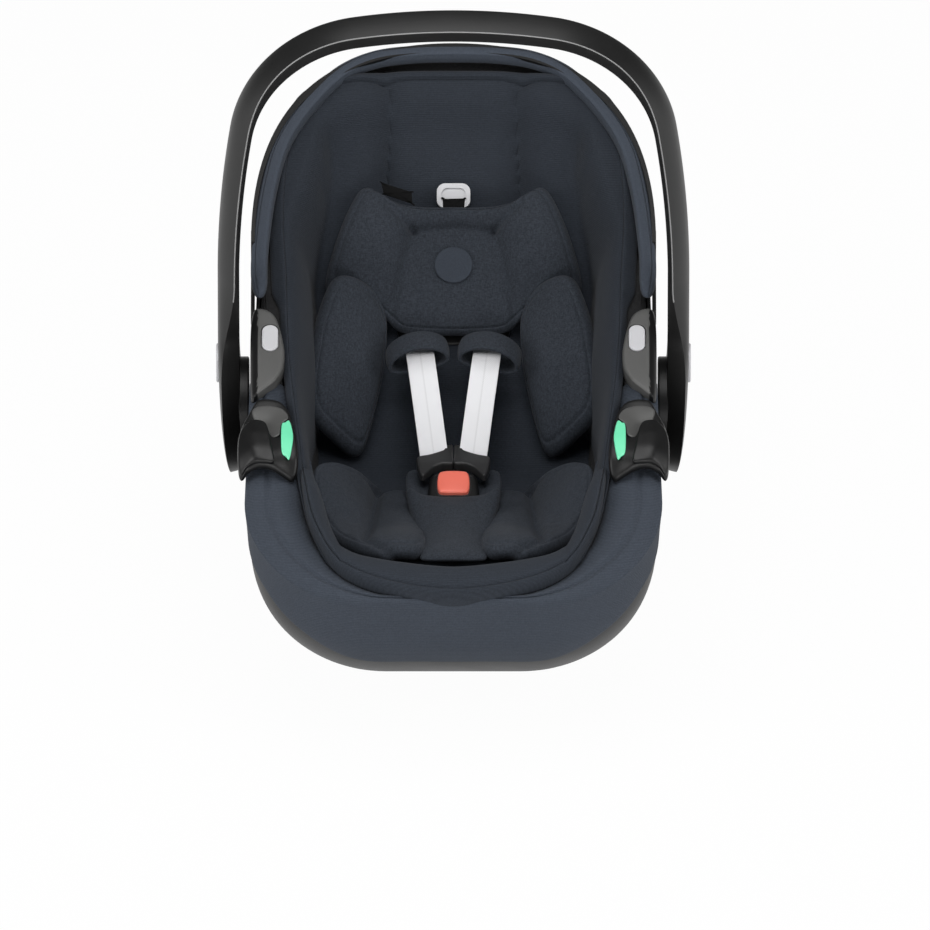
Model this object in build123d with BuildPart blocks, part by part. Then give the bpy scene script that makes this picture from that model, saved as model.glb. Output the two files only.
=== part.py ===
"""Infant car seat with a swinging carry handle, a folding canopy and a five-point harness, in millimetres.

+Z is up, the foot end is at -Y and the head end at +Y. The origin is the middle of the flat underside.
Left (-X) and right (+X) are as seen from the foot end.
Rim coordinates are x, t (along the rim, towards the head) and w (square to the rim, upwards).
"""

import os
from math import cos, hypot, radians, sin

from build123d import *

os.makedirs("parts", exist_ok=True)

# Clearances
FIT = 0.4  # between fixed pieces that lie on each other
RUN = 0.05  # radial, pin in bush
GLIDE = 0.5  # beside pieces that slide or turn

# Rim plane and handle axis
PIVOT_HEIGHT = 185.0
RIM_RISE = 86.0
RIM_TILT = 20.0

# Shell outline at the rim, and how far each deeper section draws in
RIM_FOOT = -335.0
RIM_HEAD = 335.0
RIM_HALF = 189.0
HEAD_NARROWING = 8.0
HEAD_FULLNESS = 0.66  # 0.55 is an ellipse, 1 is square
FOOT_CORNER = 120.0
SHELL_WALL = 4.0
HULL_STEPS = (  # depth, foot end, head end, side inset
    (0, RIM_FOOT, RIM_HEAD, 0),
    (70, -338, 314, 4),
    (140, -300, 268, 18),
    (200, -230, 215, 40),
    (255, -150, 148, 69),
    (300, -60, 52, 99),
    (330, -40, 0, 129),
)
CORNER_DRAW = 0.7  # corner radius lost for each millimetre of side inset

# Stack of layers from the shell to the seat surface
BUCKET_WALL = 3.5
LINER_THICK = 18.0
COVER_THICK = 12.0
CREASE_T = -75.0
CREASE_W = -148.0
CREASE_RADIUS = 45.0
CAVITY_DEPTH = 175.0
SIDE_DRAFT = 46.0
HEAD_DRAFT = 80.0
ROLL_HEIGHT = 12.0
ROLL_OVERHANG = 1.0
ROLL_FILLET = 3.5
CUSHION_INSET = 29.0
CUSHION_EDGE = 2.0
SKIRT_THICK = 3.0
SKIRT_DEPTH = 95.0

# Belly pan and lock bars
BELLY_SEAM = 24.0
CHANNEL_WIDTH = 26.0
CHANNEL_HEIGHT = 17.0
CHANNEL_HALF = 62.0
BAR_RADIUS = 5.0
BAR_HEIGHT = 10.0
BAR_HALF = 74.0
BAR_FRONT_Y = -72.0
BAR_REAR_Y = 82.0
SCREW_X = 58.0
SCREW_Y = (-35.0, 5.0, 45.0)
SCREW_RADIUS = 2.0
SCREW_LENGTH = 15.0
SCREW_HEAD_RADIUS = 4.0
SCREW_HEAD_HEIGHT = 3.0
SCREW_SINK = 2.0

# Carry handle
HANDLE_STANDOFF = 28.5
HANDLE_REACH = 410.0
ARM_THICK = 20.0
ARM_DEPTH = 30.0
ARM_WALL = 3.0
ARM_BEVEL = 5.0
SIDE_CURVE = 1000.0
SHOULDER_CURVE = 136.0
SIDE_TURN = 9.0
HUB_RADIUS = 62.0
HUB_DISC_RADIUS = 45.0
HUB_THICK = 29.0
HUB_ROUND = 5.0
AXLE_RADIUS = 10.0
AXLE_DEPTH = 22.0
AXLE_HEAD_RADIUS = 13.0
AXLE_HEAD = 3.0
BUSH_RADIUS = 16.0
BOSS_RADIUS = 30.0
BOSS_INSET = 19.0

# Press buttons: the handle's, the side trims', the buckle's and the harness adjuster's
SPRING_ROOM = 3.5
SPRING_THICK = 0.5
SPRING_SHARE = 0.8
HANDLE_BUTTON_WIDTH = 24.0
HANDLE_BUTTON_LENGTH = 38.0
HANDLE_BUTTON_RISE = 45.0
HANDLE_BUTTON_THICK = 10.0
BUTTON_PROUD = 1.5
TRIM_BUTTON_WIDTH = 15.0
TRIM_BUTTON_LENGTH = 31.0
TRIM_BUTTON_INSET = 20.0
TRIM_BUTTON_T = -29.0
TRIM_FLANGE = 2.0

# Side trims and belt guides on the rim
TRIM_INSET = 33.0
TRIM_EDGE = 2.0
TRIM_NEAR = 9.0
TRIM_FAR = -98.0
TRIM_HEIGHT = 14.0
TRIM_ROUND = 3.0
TRIM_CORNER = 14.0
GUIDE_INSET = 45.0
GUIDE_OVERHANG = 7.5
GUIDE_FAR = -200.0
GUIDE_POST = 13.0
GUIDE_BASE = 7.0
GUIDE_SLOT = 12.0
GUIDE_ROOF = 8.0
GUIDE_CORNER = 16.0
MARKER_WIDTH = 11.0
MARKER_LENGTH = 38.0
MARKER_DEPTH = 2.0
MARKER_PROUD = 1.0
MARKER_EDGE = 2.0
MARKER_ROUND = 3.6

# Canopy
CANOPY_T = 80.0
CANOPY_W = -14.0
CANOPY_GAP = 1.5
CANOPY_SETBACK = 13.0
BOW_WIDTH = 10.0
BOW_HEIGHT = 11.0
CANOPY_ARM = 3.6
CANOPY_BOSS = 13.0
CANOPY_TAB = 58.0
CANOPY_TAB_RADIUS = 8.0
CANOPY_PIN = 4.0
HOLDER_RADIUS = 9.0
HOLDER_LENGTH = 15.0
CLOTH_THICK = 3.6
CLOTH_DROP = 60.0
CLOTH_PLEATS = 6
PLEAT_DEPTH = 3.0

# Headrest on the back
BOARD_WIDTH = 104.0
BOARD_NEAR = 140.0
BOARD_FAR = 266.0
BOARD_THICK = 4.0
BOARD_CORNER = 14.0
PILLOW_HEIGHT = 34.0
PILLOW_ROUND = 9.0
PILLOW_OUTLINE = ((-54, 147), (54, 147), (57, 188), (111, 197), (103, 234), (77, 281), (44, 267))
DISC_RADIUS = 17.5
DISC_THICK = 1.0
DISC_S = 208.0
RING_WIDTH = 31.0
RING_LENGTH = 24.0
RING_BAR = 4.5
RING_THICK = 4.0
RING_TRAVEL = 6.0
RING_ROUND = 8.0
TAPE_WIDTH = 20.0
TAPE_THICK = 2.0
TAPE_LENGTH = 14.0

# Cushions on the seat, as stations along the back (s) or along the seat towards the foot
CUSHION_SEAM = 0.94
CUSHION_FULL = 0.35
CUSHION_TURN = 0.75
CUSHION_CROWN = 0.74
BOLSTER_HEIGHT = 24.0
BOLSTER_TILT = 30.0
BOLSTER_INSET = 112.0
BOLSTER_ROUND = 13.0
BOLSTER_OUTLINE = ((2, 66), (20, 26), (60, 56), (64, 116), (44, 178), (16, 158))
LEG_HEIGHT = 15.0
LEG_ROUND = 12.0
LEG_OUTLINE = ((124, -24), (86, -20), (44, -108), (28, -206), (58, -232), (98, -212), (126, -120))
CROTCH_HEIGHT = 12.0
CROTCH_ROUND = 8.0
CROTCH_OUTLINE = ((39, -62), (39, -88), (23, -146), (24, -204))

# Harness
WEB_WIDTH = 26.0
WEB_THICK = 2.2
BUCKLE_Y = -94.0
BUCKLE_Z = 153.5
BUCKLE_WIDTH = 46.0
BUCKLE_LENGTH = 52.0
BUCKLE_HEIGHT = 20.0
BUCKLE_ROUND = 4.0
BUCKLE_BUTTON_WIDTH = 30.0
BUCKLE_BUTTON_LENGTH = 27.0
BUCKLE_BUTTON_SHIFT = 6.5
BUCKLE_BUTTON_THICK = 12.0
TONGUE_THICK = 3.0
TONGUE_BLADE = 14.0
TONGUE_INSERT = 16.0
TONGUE_HEAD = 23.0
TONGUE_HALF = 35.0
TONGUE_SLOT = 4.0
TONGUE_SLOT_AT = 15.0
STRAP_SHOULDER_X = 31.0
STRAP_SHOULDER_S = 118.0
STRAP_SHOULDER_H = 46.0
STRAP_END_S = 138.0
PAD_WIDTH = 58.0
PAD_THICK = 14.0
PAD_LENGTH = 30.0
PAD_DROP = 36.0
PAD_SHIFT = 6.0
PAD_ROUND = 5.0
CROTCH_STRAP_S = 100.0
ANCHOR_WIDTH = 44.0
ANCHOR_LENGTH = 12.0
ANCHOR_THICK = 3.0
YOKE_WIDTH = 60.0
YOKE_LENGTH = 30.0
YOKE_S = 135.0
ADJUSTER_WIDTH = 44.0
ADJUSTER_NEAR = 210.0
ADJUSTER_LENGTH = 26.0
ADJUSTER_HEIGHT = 8.0
ADJUSTER_ROUND = 3.0
ADJUSTER_BUTTON_WIDTH = 26.0
ADJUSTER_BUTTON_LENGTH = 14.0
ADJUSTER_BUTTON_THICK = 4.0

# Rim frame
T_DIR = Vector(0, cos(radians(RIM_TILT)), sin(radians(RIM_TILT)))
W_DIR = Vector(0, -sin(radians(RIM_TILT)), cos(radians(RIM_TILT)))
X_DIR = Vector(1, 0, 0)
RIM_CENTRE = Vector(0, 0, PIVOT_HEIGHT + RIM_RISE)
RIM = Plane(RIM_CENTRE, x_dir=X_DIR, z_dir=W_DIR)
SIDE = Plane(RIM_CENTRE, x_dir=T_DIR, z_dir=X_DIR)
SECTION = Plane(RIM_CENTRE, x_dir=X_DIR, z_dir=T_DIR * -1)

# Layers, as distances out from the seat surface
LINER_IN = COVER_THICK + FIT
LINER_OUT = LINER_IN + LINER_THICK
BUCKET_IN = LINER_OUT + FIT
BUCKET_OUT = BUCKET_IN + BUCKET_WALL
STACK = BUCKET_OUT + FIT + SHELL_WALL
UNDER_BUCKET = BUCKET_OUT + FIT

# Seat surface: the back and the seat meet at the crease and end at the mouth
CREASE = RIM_CENTRE + T_DIR * CREASE_T + W_DIR * CREASE_W
MOUTH_HEAD = RIM_HEAD - STACK
MOUTH_FOOT = RIM_FOOT + STACK
BACK_LENGTH = hypot(MOUTH_HEAD - CREASE_T, CREASE_W)
SEAT_LENGTH = hypot(MOUTH_FOOT - CREASE_T, CREASE_W)
BACK_RUN = ((MOUTH_HEAD - CREASE_T) / BACK_LENGTH, -CREASE_W / BACK_LENGTH)
SEAT_RUN = ((CREASE_T - MOUTH_FOOT) / SEAT_LENGTH, CREASE_W / SEAT_LENGTH)
BACK_NORMAL = T_DIR * -BACK_RUN[1] + W_DIR * BACK_RUN[0]
SEAT_NORMAL = T_DIR * -SEAT_RUN[1] + W_DIR * SEAT_RUN[0]
BACK = Plane(CREASE, x_dir=X_DIR, z_dir=BACK_NORMAL)
SEAT = Plane(CREASE, x_dir=X_DIR, z_dir=SEAT_NORMAL)

# Places across the seat, from the rim
HANDLE_HALF = RIM_HALF + HANDLE_STANDOFF
TRIM_INNER = RIM_HALF - TRIM_INSET
TRIM_OUTER = RIM_HALF - TRIM_EDGE
TRIM_BUTTON_X = RIM_HALF - TRIM_BUTTON_INSET
GUIDE_INNER = RIM_HALF - GUIDE_INSET
GUIDE_OUTER = RIM_HALF + GUIDE_OVERHANG
BOLSTER_X = RIM_HALF - BOLSTER_INSET

# Handle frame: the arch is drawn in the XZ plane through the handle axis
ARCH = Plane((0, 0, PIVOT_HEIGHT), x_dir=X_DIR, z_dir=(0, -1, 0))
TURN_COS = cos(radians(SIDE_TURN))
TURN_SIN = sin(radians(SIDE_TURN))
SHOULDER_RUN = SHOULDER_CURVE * (TURN_COS - TURN_SIN)
TOP_CURVE = (HANDLE_HALF - SIDE_CURVE * (1 - TURN_COS) - SHOULDER_RUN) / TURN_SIN
ARCH_RISE = SIDE_CURVE * TURN_SIN + SHOULDER_RUN + TOP_CURVE * (1 - TURN_COS)
ARCH_START = HANDLE_REACH - ARCH_RISE
HALF_ARCS = ((SIDE_CURVE, SIDE_TURN), (SHOULDER_CURVE, 90 - 2 * SIDE_TURN), (TOP_CURVE, SIDE_TURN))
ARCH_ARCS = HALF_ARCS + HALF_ARCS[::-1]
ARM_INNER = HANDLE_HALF - ARM_THICK
HUB_FACE = HANDLE_HALF - HUB_THICK
BOSS_FACE = HUB_FACE - GLIDE
BOSS_LENGTH = BOSS_FACE - RIM_HALF + BOSS_INSET
AXLE_END = HUB_FACE + AXLE_DEPTH


def hub_plane(x, rise=0.0):
    """Plane square to the handle axis at x, with local x along Y and local y up from rise above it."""
    return Plane((x, 0, PIVOT_HEIGHT + rise), x_dir=(0, 1, 0), z_dir=X_DIR)


def egg(foot, head, side_in, corner_in):
    """Outline from foot to head, drawn in at its sides: square at the foot and round at the head."""
    half = RIM_HALF - side_in
    corner = FOOT_CORNER - corner_in
    shoulder = (foot + corner + head) / 2
    brow = half - HEAD_NARROWING
    cheek = shoulder + HEAD_FULLNESS * (head - shoulder)
    crown = HEAD_FULLNESS * brow
    with BuildSketch() as outline:
        with BuildLine():
            Line((corner - half, foot), (half - corner, foot))
            CenterArc((half - corner, foot + corner), corner, -90, 90)
            Line((half, foot + corner), (brow, shoulder))
            for side in (1, -1):
                Bezier((side * brow, shoulder), (side * brow, cheek), (side * crown, head), (0, head))
            Line((-brow, shoulder), (-half, foot + corner))
            CenterArc((corner - half, foot + corner), corner, 180, 90)
        make_face()
    return outline.sketch


def rim_egg(inset):
    """Rim outline drawn in evenly."""
    return egg(RIM_FOOT + inset, RIM_HEAD - inset, inset, inset)


def hull(inset):
    """Boat-shaped body of the shell below the rim, drawn in evenly."""
    with BuildPart() as body:
        for depth, foot, head, side_in in HULL_STEPS:
            with BuildSketch(RIM.offset(-depth)):
                add(egg(foot + inset, head - inset, side_in + inset, CORNER_DRAW * side_in + inset))
        loft(ruled=True)
    return body.part


def crease_at(grow):
    """Rim coordinates of the crease once the back and the seat have both moved out by grow."""
    cross = BACK_RUN[0] * SEAT_RUN[1] - BACK_RUN[1] * SEAT_RUN[0]
    along_t = (BACK_RUN[0] - SEAT_RUN[0]) / cross
    along_w = (BACK_RUN[1] - SEAT_RUN[1]) / cross
    return CREASE_T + grow * along_t, CREASE_W + grow * along_w


def cavity(grow):
    """Hollow of the seat below the rim, grown out by a layer's depth."""
    bottom_t, bottom_w = crease_at(grow)
    climb = ROLL_HEIGHT - bottom_w
    head_t = bottom_t + climb * BACK_RUN[0] / BACK_RUN[1]
    foot_t = bottom_t + climb * SEAT_RUN[0] / SEAT_RUN[1]
    inset = STACK - grow
    low = inset + SIDE_DRAFT
    with BuildPart() as hollow:
        with BuildSketch(RIM):
            add(rim_egg(inset))
        with BuildSketch(RIM.offset(-CAVITY_DEPTH - grow)):
            add(egg(RIM_FOOT + inset, RIM_HEAD - inset - HEAD_DRAFT, low, inset))
        loft(ruled=True)
        with BuildSketch(SIDE.offset(-RIM_HALF)) as wedge:
            with BuildLine():
                Polyline((bottom_t, bottom_w), (head_t, ROLL_HEIGHT), (foot_t, ROLL_HEIGHT), close=True)
            make_face()
            fillet(wedge.vertices().sort_by(Axis.Y)[0], CREASE_RADIUS + grow)
        extrude(amount=2 * RIM_HALF, mode=Mode.INTERSECT)
    return hollow.part


def cushion(plane, corners, radius, base, height):
    """Stuffed pad: drawn in at its seam, full at mid height and crowned on top."""
    middle_x = sum(x for x, y in corners) / len(corners)
    middle_y = sum(y for x, y in corners) / len(corners)
    turn_share = (1 + CUSHION_CROWN) / 2
    rows = ((0, CUSHION_SEAM), (CUSHION_FULL, 1), (CUSHION_TURN, turn_share), (1, CUSHION_CROWN))
    with BuildPart() as pad:
        for level, share in rows:
            lost = 1 - share
            points = [(x + (middle_x - x) * lost, y + (middle_y - y) * lost) for x, y in corners]
            with BuildSketch(plane.offset(base + level * height)):
                with BuildLine():
                    FilletPolyline(*points, radius=radius * share, close=True)
                make_face()
        loft()
    return pad.part


def leaf_spring(plane, length, width):
    """Bowed strip that stands in the room under a press button, on the plane's middle."""
    top = SPRING_ROOM - GLIDE
    heel = GLIDE + SPRING_THICK
    section = Plane(plane.origin, x_dir=plane.y_dir, z_dir=plane.x_dir)
    with BuildPart() as strip:
        with BuildSketch(section):
            with BuildLine():
                under = ThreePointArc((-length / 2, GLIDE), (0, top - SPRING_THICK), (length / 2, GLIDE))
                over = ThreePointArc((-length / 2, heel), (0, top), (length / 2, heel))
                Line(under @ 0, over @ 0)
                Line(under @ 1, over @ 1)
            make_face()
        extrude(amount=width / 2, both=True)
    return strip.part


def arch_band(outer_in, inner_in):
    """Band of the handle's arch between two insets from its outer edge."""
    with BuildSketch() as band:
        with BuildLine():
            for inset in (outer_in, inner_in):
                spot = (HANDLE_HALF - inset, ARCH_START)
                heading = (0, 1)
                for radius, turn in ARCH_ARCS:
                    arc = JernArc(spot, heading, radius - inset, turn)
                    spot = arc @ 1
                    heading = arc % 1
            for side in (-1, 1):
                ends = [(side * (HANDLE_HALF - inset), ARCH_START) for inset in (outer_in, inner_in)]
                Line(*ends)
        make_face()
    return band.sketch


def export_pair(stem, right):
    """Write a right-hand piece, and its mirror image as the left-hand one."""
    with BuildPart() as left:
        mirror(right.part, about=Plane.YZ)
    right.part.label = f"{stem}_right"
    left.part.label = f"{stem}_left"
    export_step(right.part, f"parts/{stem}_right.step")
    export_step(left.part, f"parts/{stem}_left.step")


seat_room = cavity(-FIT)
seat_surface = cavity(0)
hull_outer = hull(0)
CANOPY_AXIS = RIM_CENTRE + T_DIR * CANOPY_T + W_DIR * CANOPY_W
HOLDER_FACE = RIM_HALF - HEAD_NARROWING + ROLL_OVERHANG
HOLDER_IN = HOLDER_FACE - HOLDER_LENGTH
CROTCH_PLANE = Plane(SEAT.from_local_coords((0, -CROTCH_STRAP_S, 0)), x_dir=X_DIR, z_dir=SEAT_NORMAL)
CROTCH_TOP = (BUCKLE_Z - BUCKLE_HEIGHT / 2 - CROTCH_PLANE.origin.Z) / SEAT_NORMAL.Z - 2 * FIT


def canopy_plane(x):
    """Plane square to the canopy's axis at x, centred on it."""
    return Plane((x, CANOPY_AXIS.Y, CANOPY_AXIS.Z), x_dir=T_DIR, z_dir=X_DIR)


with BuildPart() as canopy_sockets:
    for x in (HOLDER_IN - FIT, -HOLDER_FACE):
        with BuildSketch(canopy_plane(x)):
            Circle(HOLDER_RADIUS + RUN)
        extrude(amount=HOLDER_LENGTH + FIT)
with BuildPart() as crotch_slot:
    with BuildSketch(CROTCH_PLANE.offset(-UNDER_BUCKET)):
        Rectangle(WEB_WIDTH + 2 * GLIDE, WEB_THICK + 2 * GLIDE)
    extrude(amount=UNDER_BUCKET + CROTCH_TOP + FIT)

# Rocker shell: thin boat-shaped wall with a boss for each handle bearing
hull_inner = hull(SHELL_WALL)
with BuildPart() as rocker_shell:
    add(hull_outer)
    add(hull_inner, mode=Mode.SUBTRACT)
    split(bisect_by=RIM.offset(-FIT), keep=Keep.BOTTOM)
    split(bisect_by=Plane.XY.offset(BELLY_SEAM), keep=Keep.TOP)
    for x in (BOSS_FACE - BOSS_LENGTH, -BOSS_FACE):
        with BuildSketch(hub_plane(x)):
            Circle(BOSS_RADIUS)
        extrude(amount=BOSS_LENGTH)
        with BuildSketch(hub_plane(x)):
            Circle(BUSH_RADIUS + RUN)
        extrude(amount=BOSS_LENGTH, mode=Mode.SUBTRACT)
    add(canopy_sockets.part, mode=Mode.SUBTRACT)
rocker_shell.part.label = "rocker_shell"
export_step(rocker_shell.part, "parts/rocker_shell.step")

# Belly pan: flat underside with two cross channels for the lock bars
with BuildPart() as belly_pan:
    add(hull_outer)
    split(bisect_by=Plane.XY.offset(BELLY_SEAM - FIT), keep=Keep.BOTTOM)
    split(bisect_by=Plane.XY, keep=Keep.TOP)
    for y in (BAR_FRONT_Y, BAR_REAR_Y):
        with BuildSketch(Plane.XY):
            with Locations((0, y)):
                Rectangle(2 * CHANNEL_HALF, CHANNEL_WIDTH)
        extrude(amount=CHANNEL_HEIGHT, mode=Mode.SUBTRACT)
        with BuildSketch(Plane((-BAR_HALF - RUN, y, BAR_HEIGHT), x_dir=(0, 1, 0), z_dir=X_DIR)):
            Circle(BAR_RADIUS + RUN)
        extrude(amount=2 * (BAR_HALF + RUN), mode=Mode.SUBTRACT)
    for x in (-SCREW_X, SCREW_X):
        for y in SCREW_Y:
            with BuildSketch(Plane.XY):
                with Locations((x, y)):
                    Circle(SCREW_HEAD_RADIUS + RUN)
            extrude(amount=SCREW_SINK + SCREW_HEAD_HEIGHT + RUN, mode=Mode.SUBTRACT)
            with BuildSketch(Plane.XY):
                with Locations((x, y)):
                    Circle(SCREW_RADIUS + RUN)
            extrude(amount=SCREW_SINK + SCREW_HEAD_HEIGHT + SCREW_LENGTH + RUN, mode=Mode.SUBTRACT)
belly_pan.part.label = "belly_pan"
export_step(belly_pan.part, "parts/belly_pan.step")

for name, y in (("lock_bar_front", BAR_FRONT_Y), ("lock_bar_rear", BAR_REAR_Y)):
    with BuildPart() as lock_bar:
        with BuildSketch(Plane((-BAR_HALF, y, BAR_HEIGHT), x_dir=(0, 1, 0), z_dir=X_DIR)):
            Circle(BAR_RADIUS)
        extrude(amount=2 * BAR_HALF)
    lock_bar.part.label = name
    export_step(lock_bar.part, f"parts/{name}.step")

with BuildPart() as belly_screws:
    for x in (-SCREW_X, SCREW_X):
        for y in SCREW_Y:
            with BuildSketch(Plane.XY.offset(SCREW_SINK)):
                with Locations((x, y)):
                    Circle(SCREW_HEAD_RADIUS)
            extrude(amount=SCREW_HEAD_HEIGHT)
            with BuildSketch(Plane.XY.offset(SCREW_SINK + SCREW_HEAD_HEIGHT)):
                with Locations((x, y)):
                    Circle(SCREW_RADIUS)
            extrude(amount=SCREW_LENGTH)
belly_screws.part.label = "belly_screws"
export_step(belly_screws.part, "parts/belly_screws.step")

# Bucket and foam liner: layers of the seat between the shell and the cover
layers = (("seat_bucket", BUCKET_OUT, BUCKET_IN), ("foam_liner", LINER_OUT, LINER_IN))
for name, outside, inside in layers:
    layer_body = cavity(outside)
    layer_void = cavity(inside)
    with BuildPart() as layer:
        add(layer_body)
        add(layer_void, mode=Mode.SUBTRACT)
        split(bisect_by=RIM.offset(-FIT), keep=Keep.BOTTOM)
        add(canopy_sockets.part, mode=Mode.SUBTRACT)
        add(crotch_slot.part, mode=Mode.SUBTRACT)
    layer.part.label = name
    export_step(layer.part, f"parts/{name}.step")

# Seat cover: padded lining with a roll over the rim at the head and a cushioned roll at the foot
cover_body = cavity(COVER_THICK)
cushion_foot = RIM_FOOT + CUSHION_EDGE
with BuildPart() as seat_cover:
    add(cover_body)
    with BuildSketch(RIM):
        add(rim_egg(-ROLL_OVERHANG))
        with Locations((0, TRIM_NEAR + FIT)):
            Rectangle(4 * RIM_HALF, 4 * RIM_HEAD, align=(Align.CENTER, Align.MAX), mode=Mode.SUBTRACT)
        add(rim_egg(STACK), mode=Mode.SUBTRACT)
    extrude(amount=ROLL_HEIGHT)
    with BuildSketch(RIM):
        add(egg(cushion_foot, MOUTH_HEAD, CUSHION_INSET, CUSHION_INSET))
        with Locations((0, GUIDE_FAR - FIT)):
            Rectangle(4 * RIM_HALF, 4 * RIM_HEAD, align=(Align.CENTER, Align.MIN), mode=Mode.SUBTRACT)
        add(rim_egg(STACK), mode=Mode.SUBTRACT)
    extrude(amount=ROLL_HEIGHT)
    add(seat_surface, mode=Mode.SUBTRACT)
    roll_top = seat_cover.faces().filter_by(RIM).sort_by(Axis((0, 0, 0), W_DIR))[-2:]
    fillet(roll_top.edges(), ROLL_FILLET)
    add(crotch_slot.part, mode=Mode.SUBTRACT)
seat_cover.part.label = "seat_cover"
export_step(seat_cover.part, "parts/seat_cover.step")

# Rim skirt: fabric over the outside of the foot end, with a deck up to the cushioned roll
skirt_body = hull(-FIT - SKIRT_THICK)
skirt_void = hull(-FIT)
deck_in = CUSHION_INSET - FIT
with BuildPart() as rim_skirt:
    add(skirt_body)
    add(skirt_void, mode=Mode.SUBTRACT)
    split(bisect_by=RIM.offset(-SKIRT_DEPTH), keep=Keep.TOP)
    with BuildSketch(RIM):
        add(rim_egg(-FIT - SKIRT_THICK))
        add(egg(cushion_foot - FIT, MOUTH_HEAD, deck_in, deck_in), mode=Mode.SUBTRACT)
    extrude(amount=SKIRT_THICK)
    split(bisect_by=SECTION.offset(-GUIDE_FAR + FIT), keep=Keep.TOP)
rim_skirt.part.label = "rim_skirt"
export_step(rim_skirt.part, "parts/rim_skirt.step")

# Side trims: plastic caps on the rim beside the handle, each with a sprung release button
trim_seat = FIT / 2
button_at = (TRIM_BUTTON_X, TRIM_BUTTON_T)
flange_top = trim_seat + SPRING_ROOM + TRIM_FLANGE
with BuildPart() as side_trim:
    with BuildSketch(RIM.offset(trim_seat)):
        with BuildLine():
            Polyline(
                (TRIM_INNER, TRIM_FAR),
                (TRIM_OUTER, TRIM_FAR),
                (TRIM_OUTER, TRIM_NEAR),
                (TRIM_INNER + TRIM_CORNER, TRIM_NEAR),
                (TRIM_INNER, TRIM_NEAR - TRIM_CORNER),
                close=True,
            )
        make_face()
    extrude(amount=TRIM_HEIGHT)
    fillet(side_trim.faces().sort_by(Axis((0, 0, 0), W_DIR))[-1].edges(), TRIM_ROUND)
    with BuildSketch(RIM.offset(trim_seat)):
        with Locations(button_at):
            SlotOverall(TRIM_BUTTON_LENGTH + 2 * GLIDE, TRIM_BUTTON_WIDTH + 2 * GLIDE, rotation=90)
    extrude(amount=TRIM_HEIGHT, mode=Mode.SUBTRACT)
    with BuildSketch(RIM.offset(trim_seat)):
        with Locations(button_at):
            SlotOverall(
                TRIM_BUTTON_LENGTH + 2 * (TRIM_FLANGE + GLIDE),
                TRIM_BUTTON_WIDTH + 2 * (TRIM_FLANGE + GLIDE),
                rotation=90,
            )
    extrude(amount=flange_top + FIT - trim_seat, mode=Mode.SUBTRACT)
export_pair("side_trim", side_trim)

with BuildPart() as release_button:
    with BuildSketch(RIM.offset(trim_seat + SPRING_ROOM)):
        with Locations(button_at):
            SlotOverall(TRIM_BUTTON_LENGTH, TRIM_BUTTON_WIDTH, rotation=90)
    extrude(amount=TRIM_HEIGHT + BUTTON_PROUD - SPRING_ROOM)
    fillet(release_button.faces().sort_by(Axis((0, 0, 0), W_DIR))[-1].edges(), BUTTON_PROUD)
    with BuildSketch(RIM.offset(trim_seat + SPRING_ROOM)):
        with Locations(button_at):
            SlotOverall(
                TRIM_BUTTON_LENGTH + 2 * TRIM_FLANGE, TRIM_BUTTON_WIDTH + 2 * TRIM_FLANGE, rotation=90
            )
    extrude(amount=TRIM_FLANGE)
export_pair("release_button", release_button)

spring_plane = Plane(RIM.offset(trim_seat).from_local_coords((*button_at, 0)), x_dir=X_DIR, z_dir=W_DIR)
trim_spring = leaf_spring(spring_plane, TRIM_BUTTON_LENGTH, TRIM_BUTTON_WIDTH / 2)
with BuildPart() as release_springs:
    add(trim_spring)
    mirror(trim_spring, about=Plane.YZ)
release_springs.part.label = "release_springs"
export_step(release_springs.part, "parts/release_springs.step")

# Belt guides: hooks on the rim, open outwards, each with a bright marker on its roof
guide_top = trim_seat + GUIDE_BASE + GUIDE_SLOT + GUIDE_ROOF
guide_near = TRIM_FAR - FIT
guide_length = guide_near - GUIDE_FAR
marker_x = GUIDE_INNER + MARKER_EDGE + MARKER_WIDTH / 2
marker_at = (marker_x, GUIDE_FAR + MARKER_EDGE + GUIDE_CORNER + MARKER_LENGTH / 2)
with BuildPart() as belt_guide:
    with BuildSketch(RIM.offset(trim_seat)):
        with BuildLine():
            Polyline(
                (GUIDE_INNER, GUIDE_FAR),
                (GUIDE_OUTER, GUIDE_FAR),
                (GUIDE_OUTER, guide_near - GUIDE_CORNER),
                (GUIDE_OUTER - GUIDE_CORNER, guide_near),
                (GUIDE_INNER + GUIDE_CORNER, guide_near),
                (GUIDE_INNER, guide_near - GUIDE_CORNER),
                close=True,
            )
        make_face()
    extrude(amount=guide_top - trim_seat)
    fillet(belt_guide.faces().sort_by(Axis((0, 0, 0), W_DIR))[-1].edges(), TRIM_ROUND)
    with BuildSketch(SECTION.offset(-guide_near)):
        with Locations((GUIDE_INNER + GUIDE_POST, trim_seat + GUIDE_BASE)):
            Rectangle(GUIDE_OUTER - GUIDE_INNER, GUIDE_SLOT, align=(Align.MIN, Align.MIN))
    extrude(amount=guide_length, mode=Mode.SUBTRACT)
    with BuildSketch(RIM.offset(guide_top - MARKER_DEPTH)):
        with Locations(marker_at):
            RectangleRounded(MARKER_WIDTH, MARKER_LENGTH, MARKER_ROUND)
    extrude(amount=MARKER_DEPTH, mode=Mode.SUBTRACT)
export_pair("belt_guide", belt_guide)

with BuildPart() as belt_marker:
    with BuildSketch(RIM.offset(guide_top - MARKER_DEPTH)):
        with Locations(marker_at):
            RectangleRounded(MARKER_WIDTH - FIT, MARKER_LENGTH - FIT, MARKER_ROUND - FIT / 2)
    extrude(amount=MARKER_DEPTH + MARKER_PROUD)
export_pair("belt_marker", belt_marker)

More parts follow.
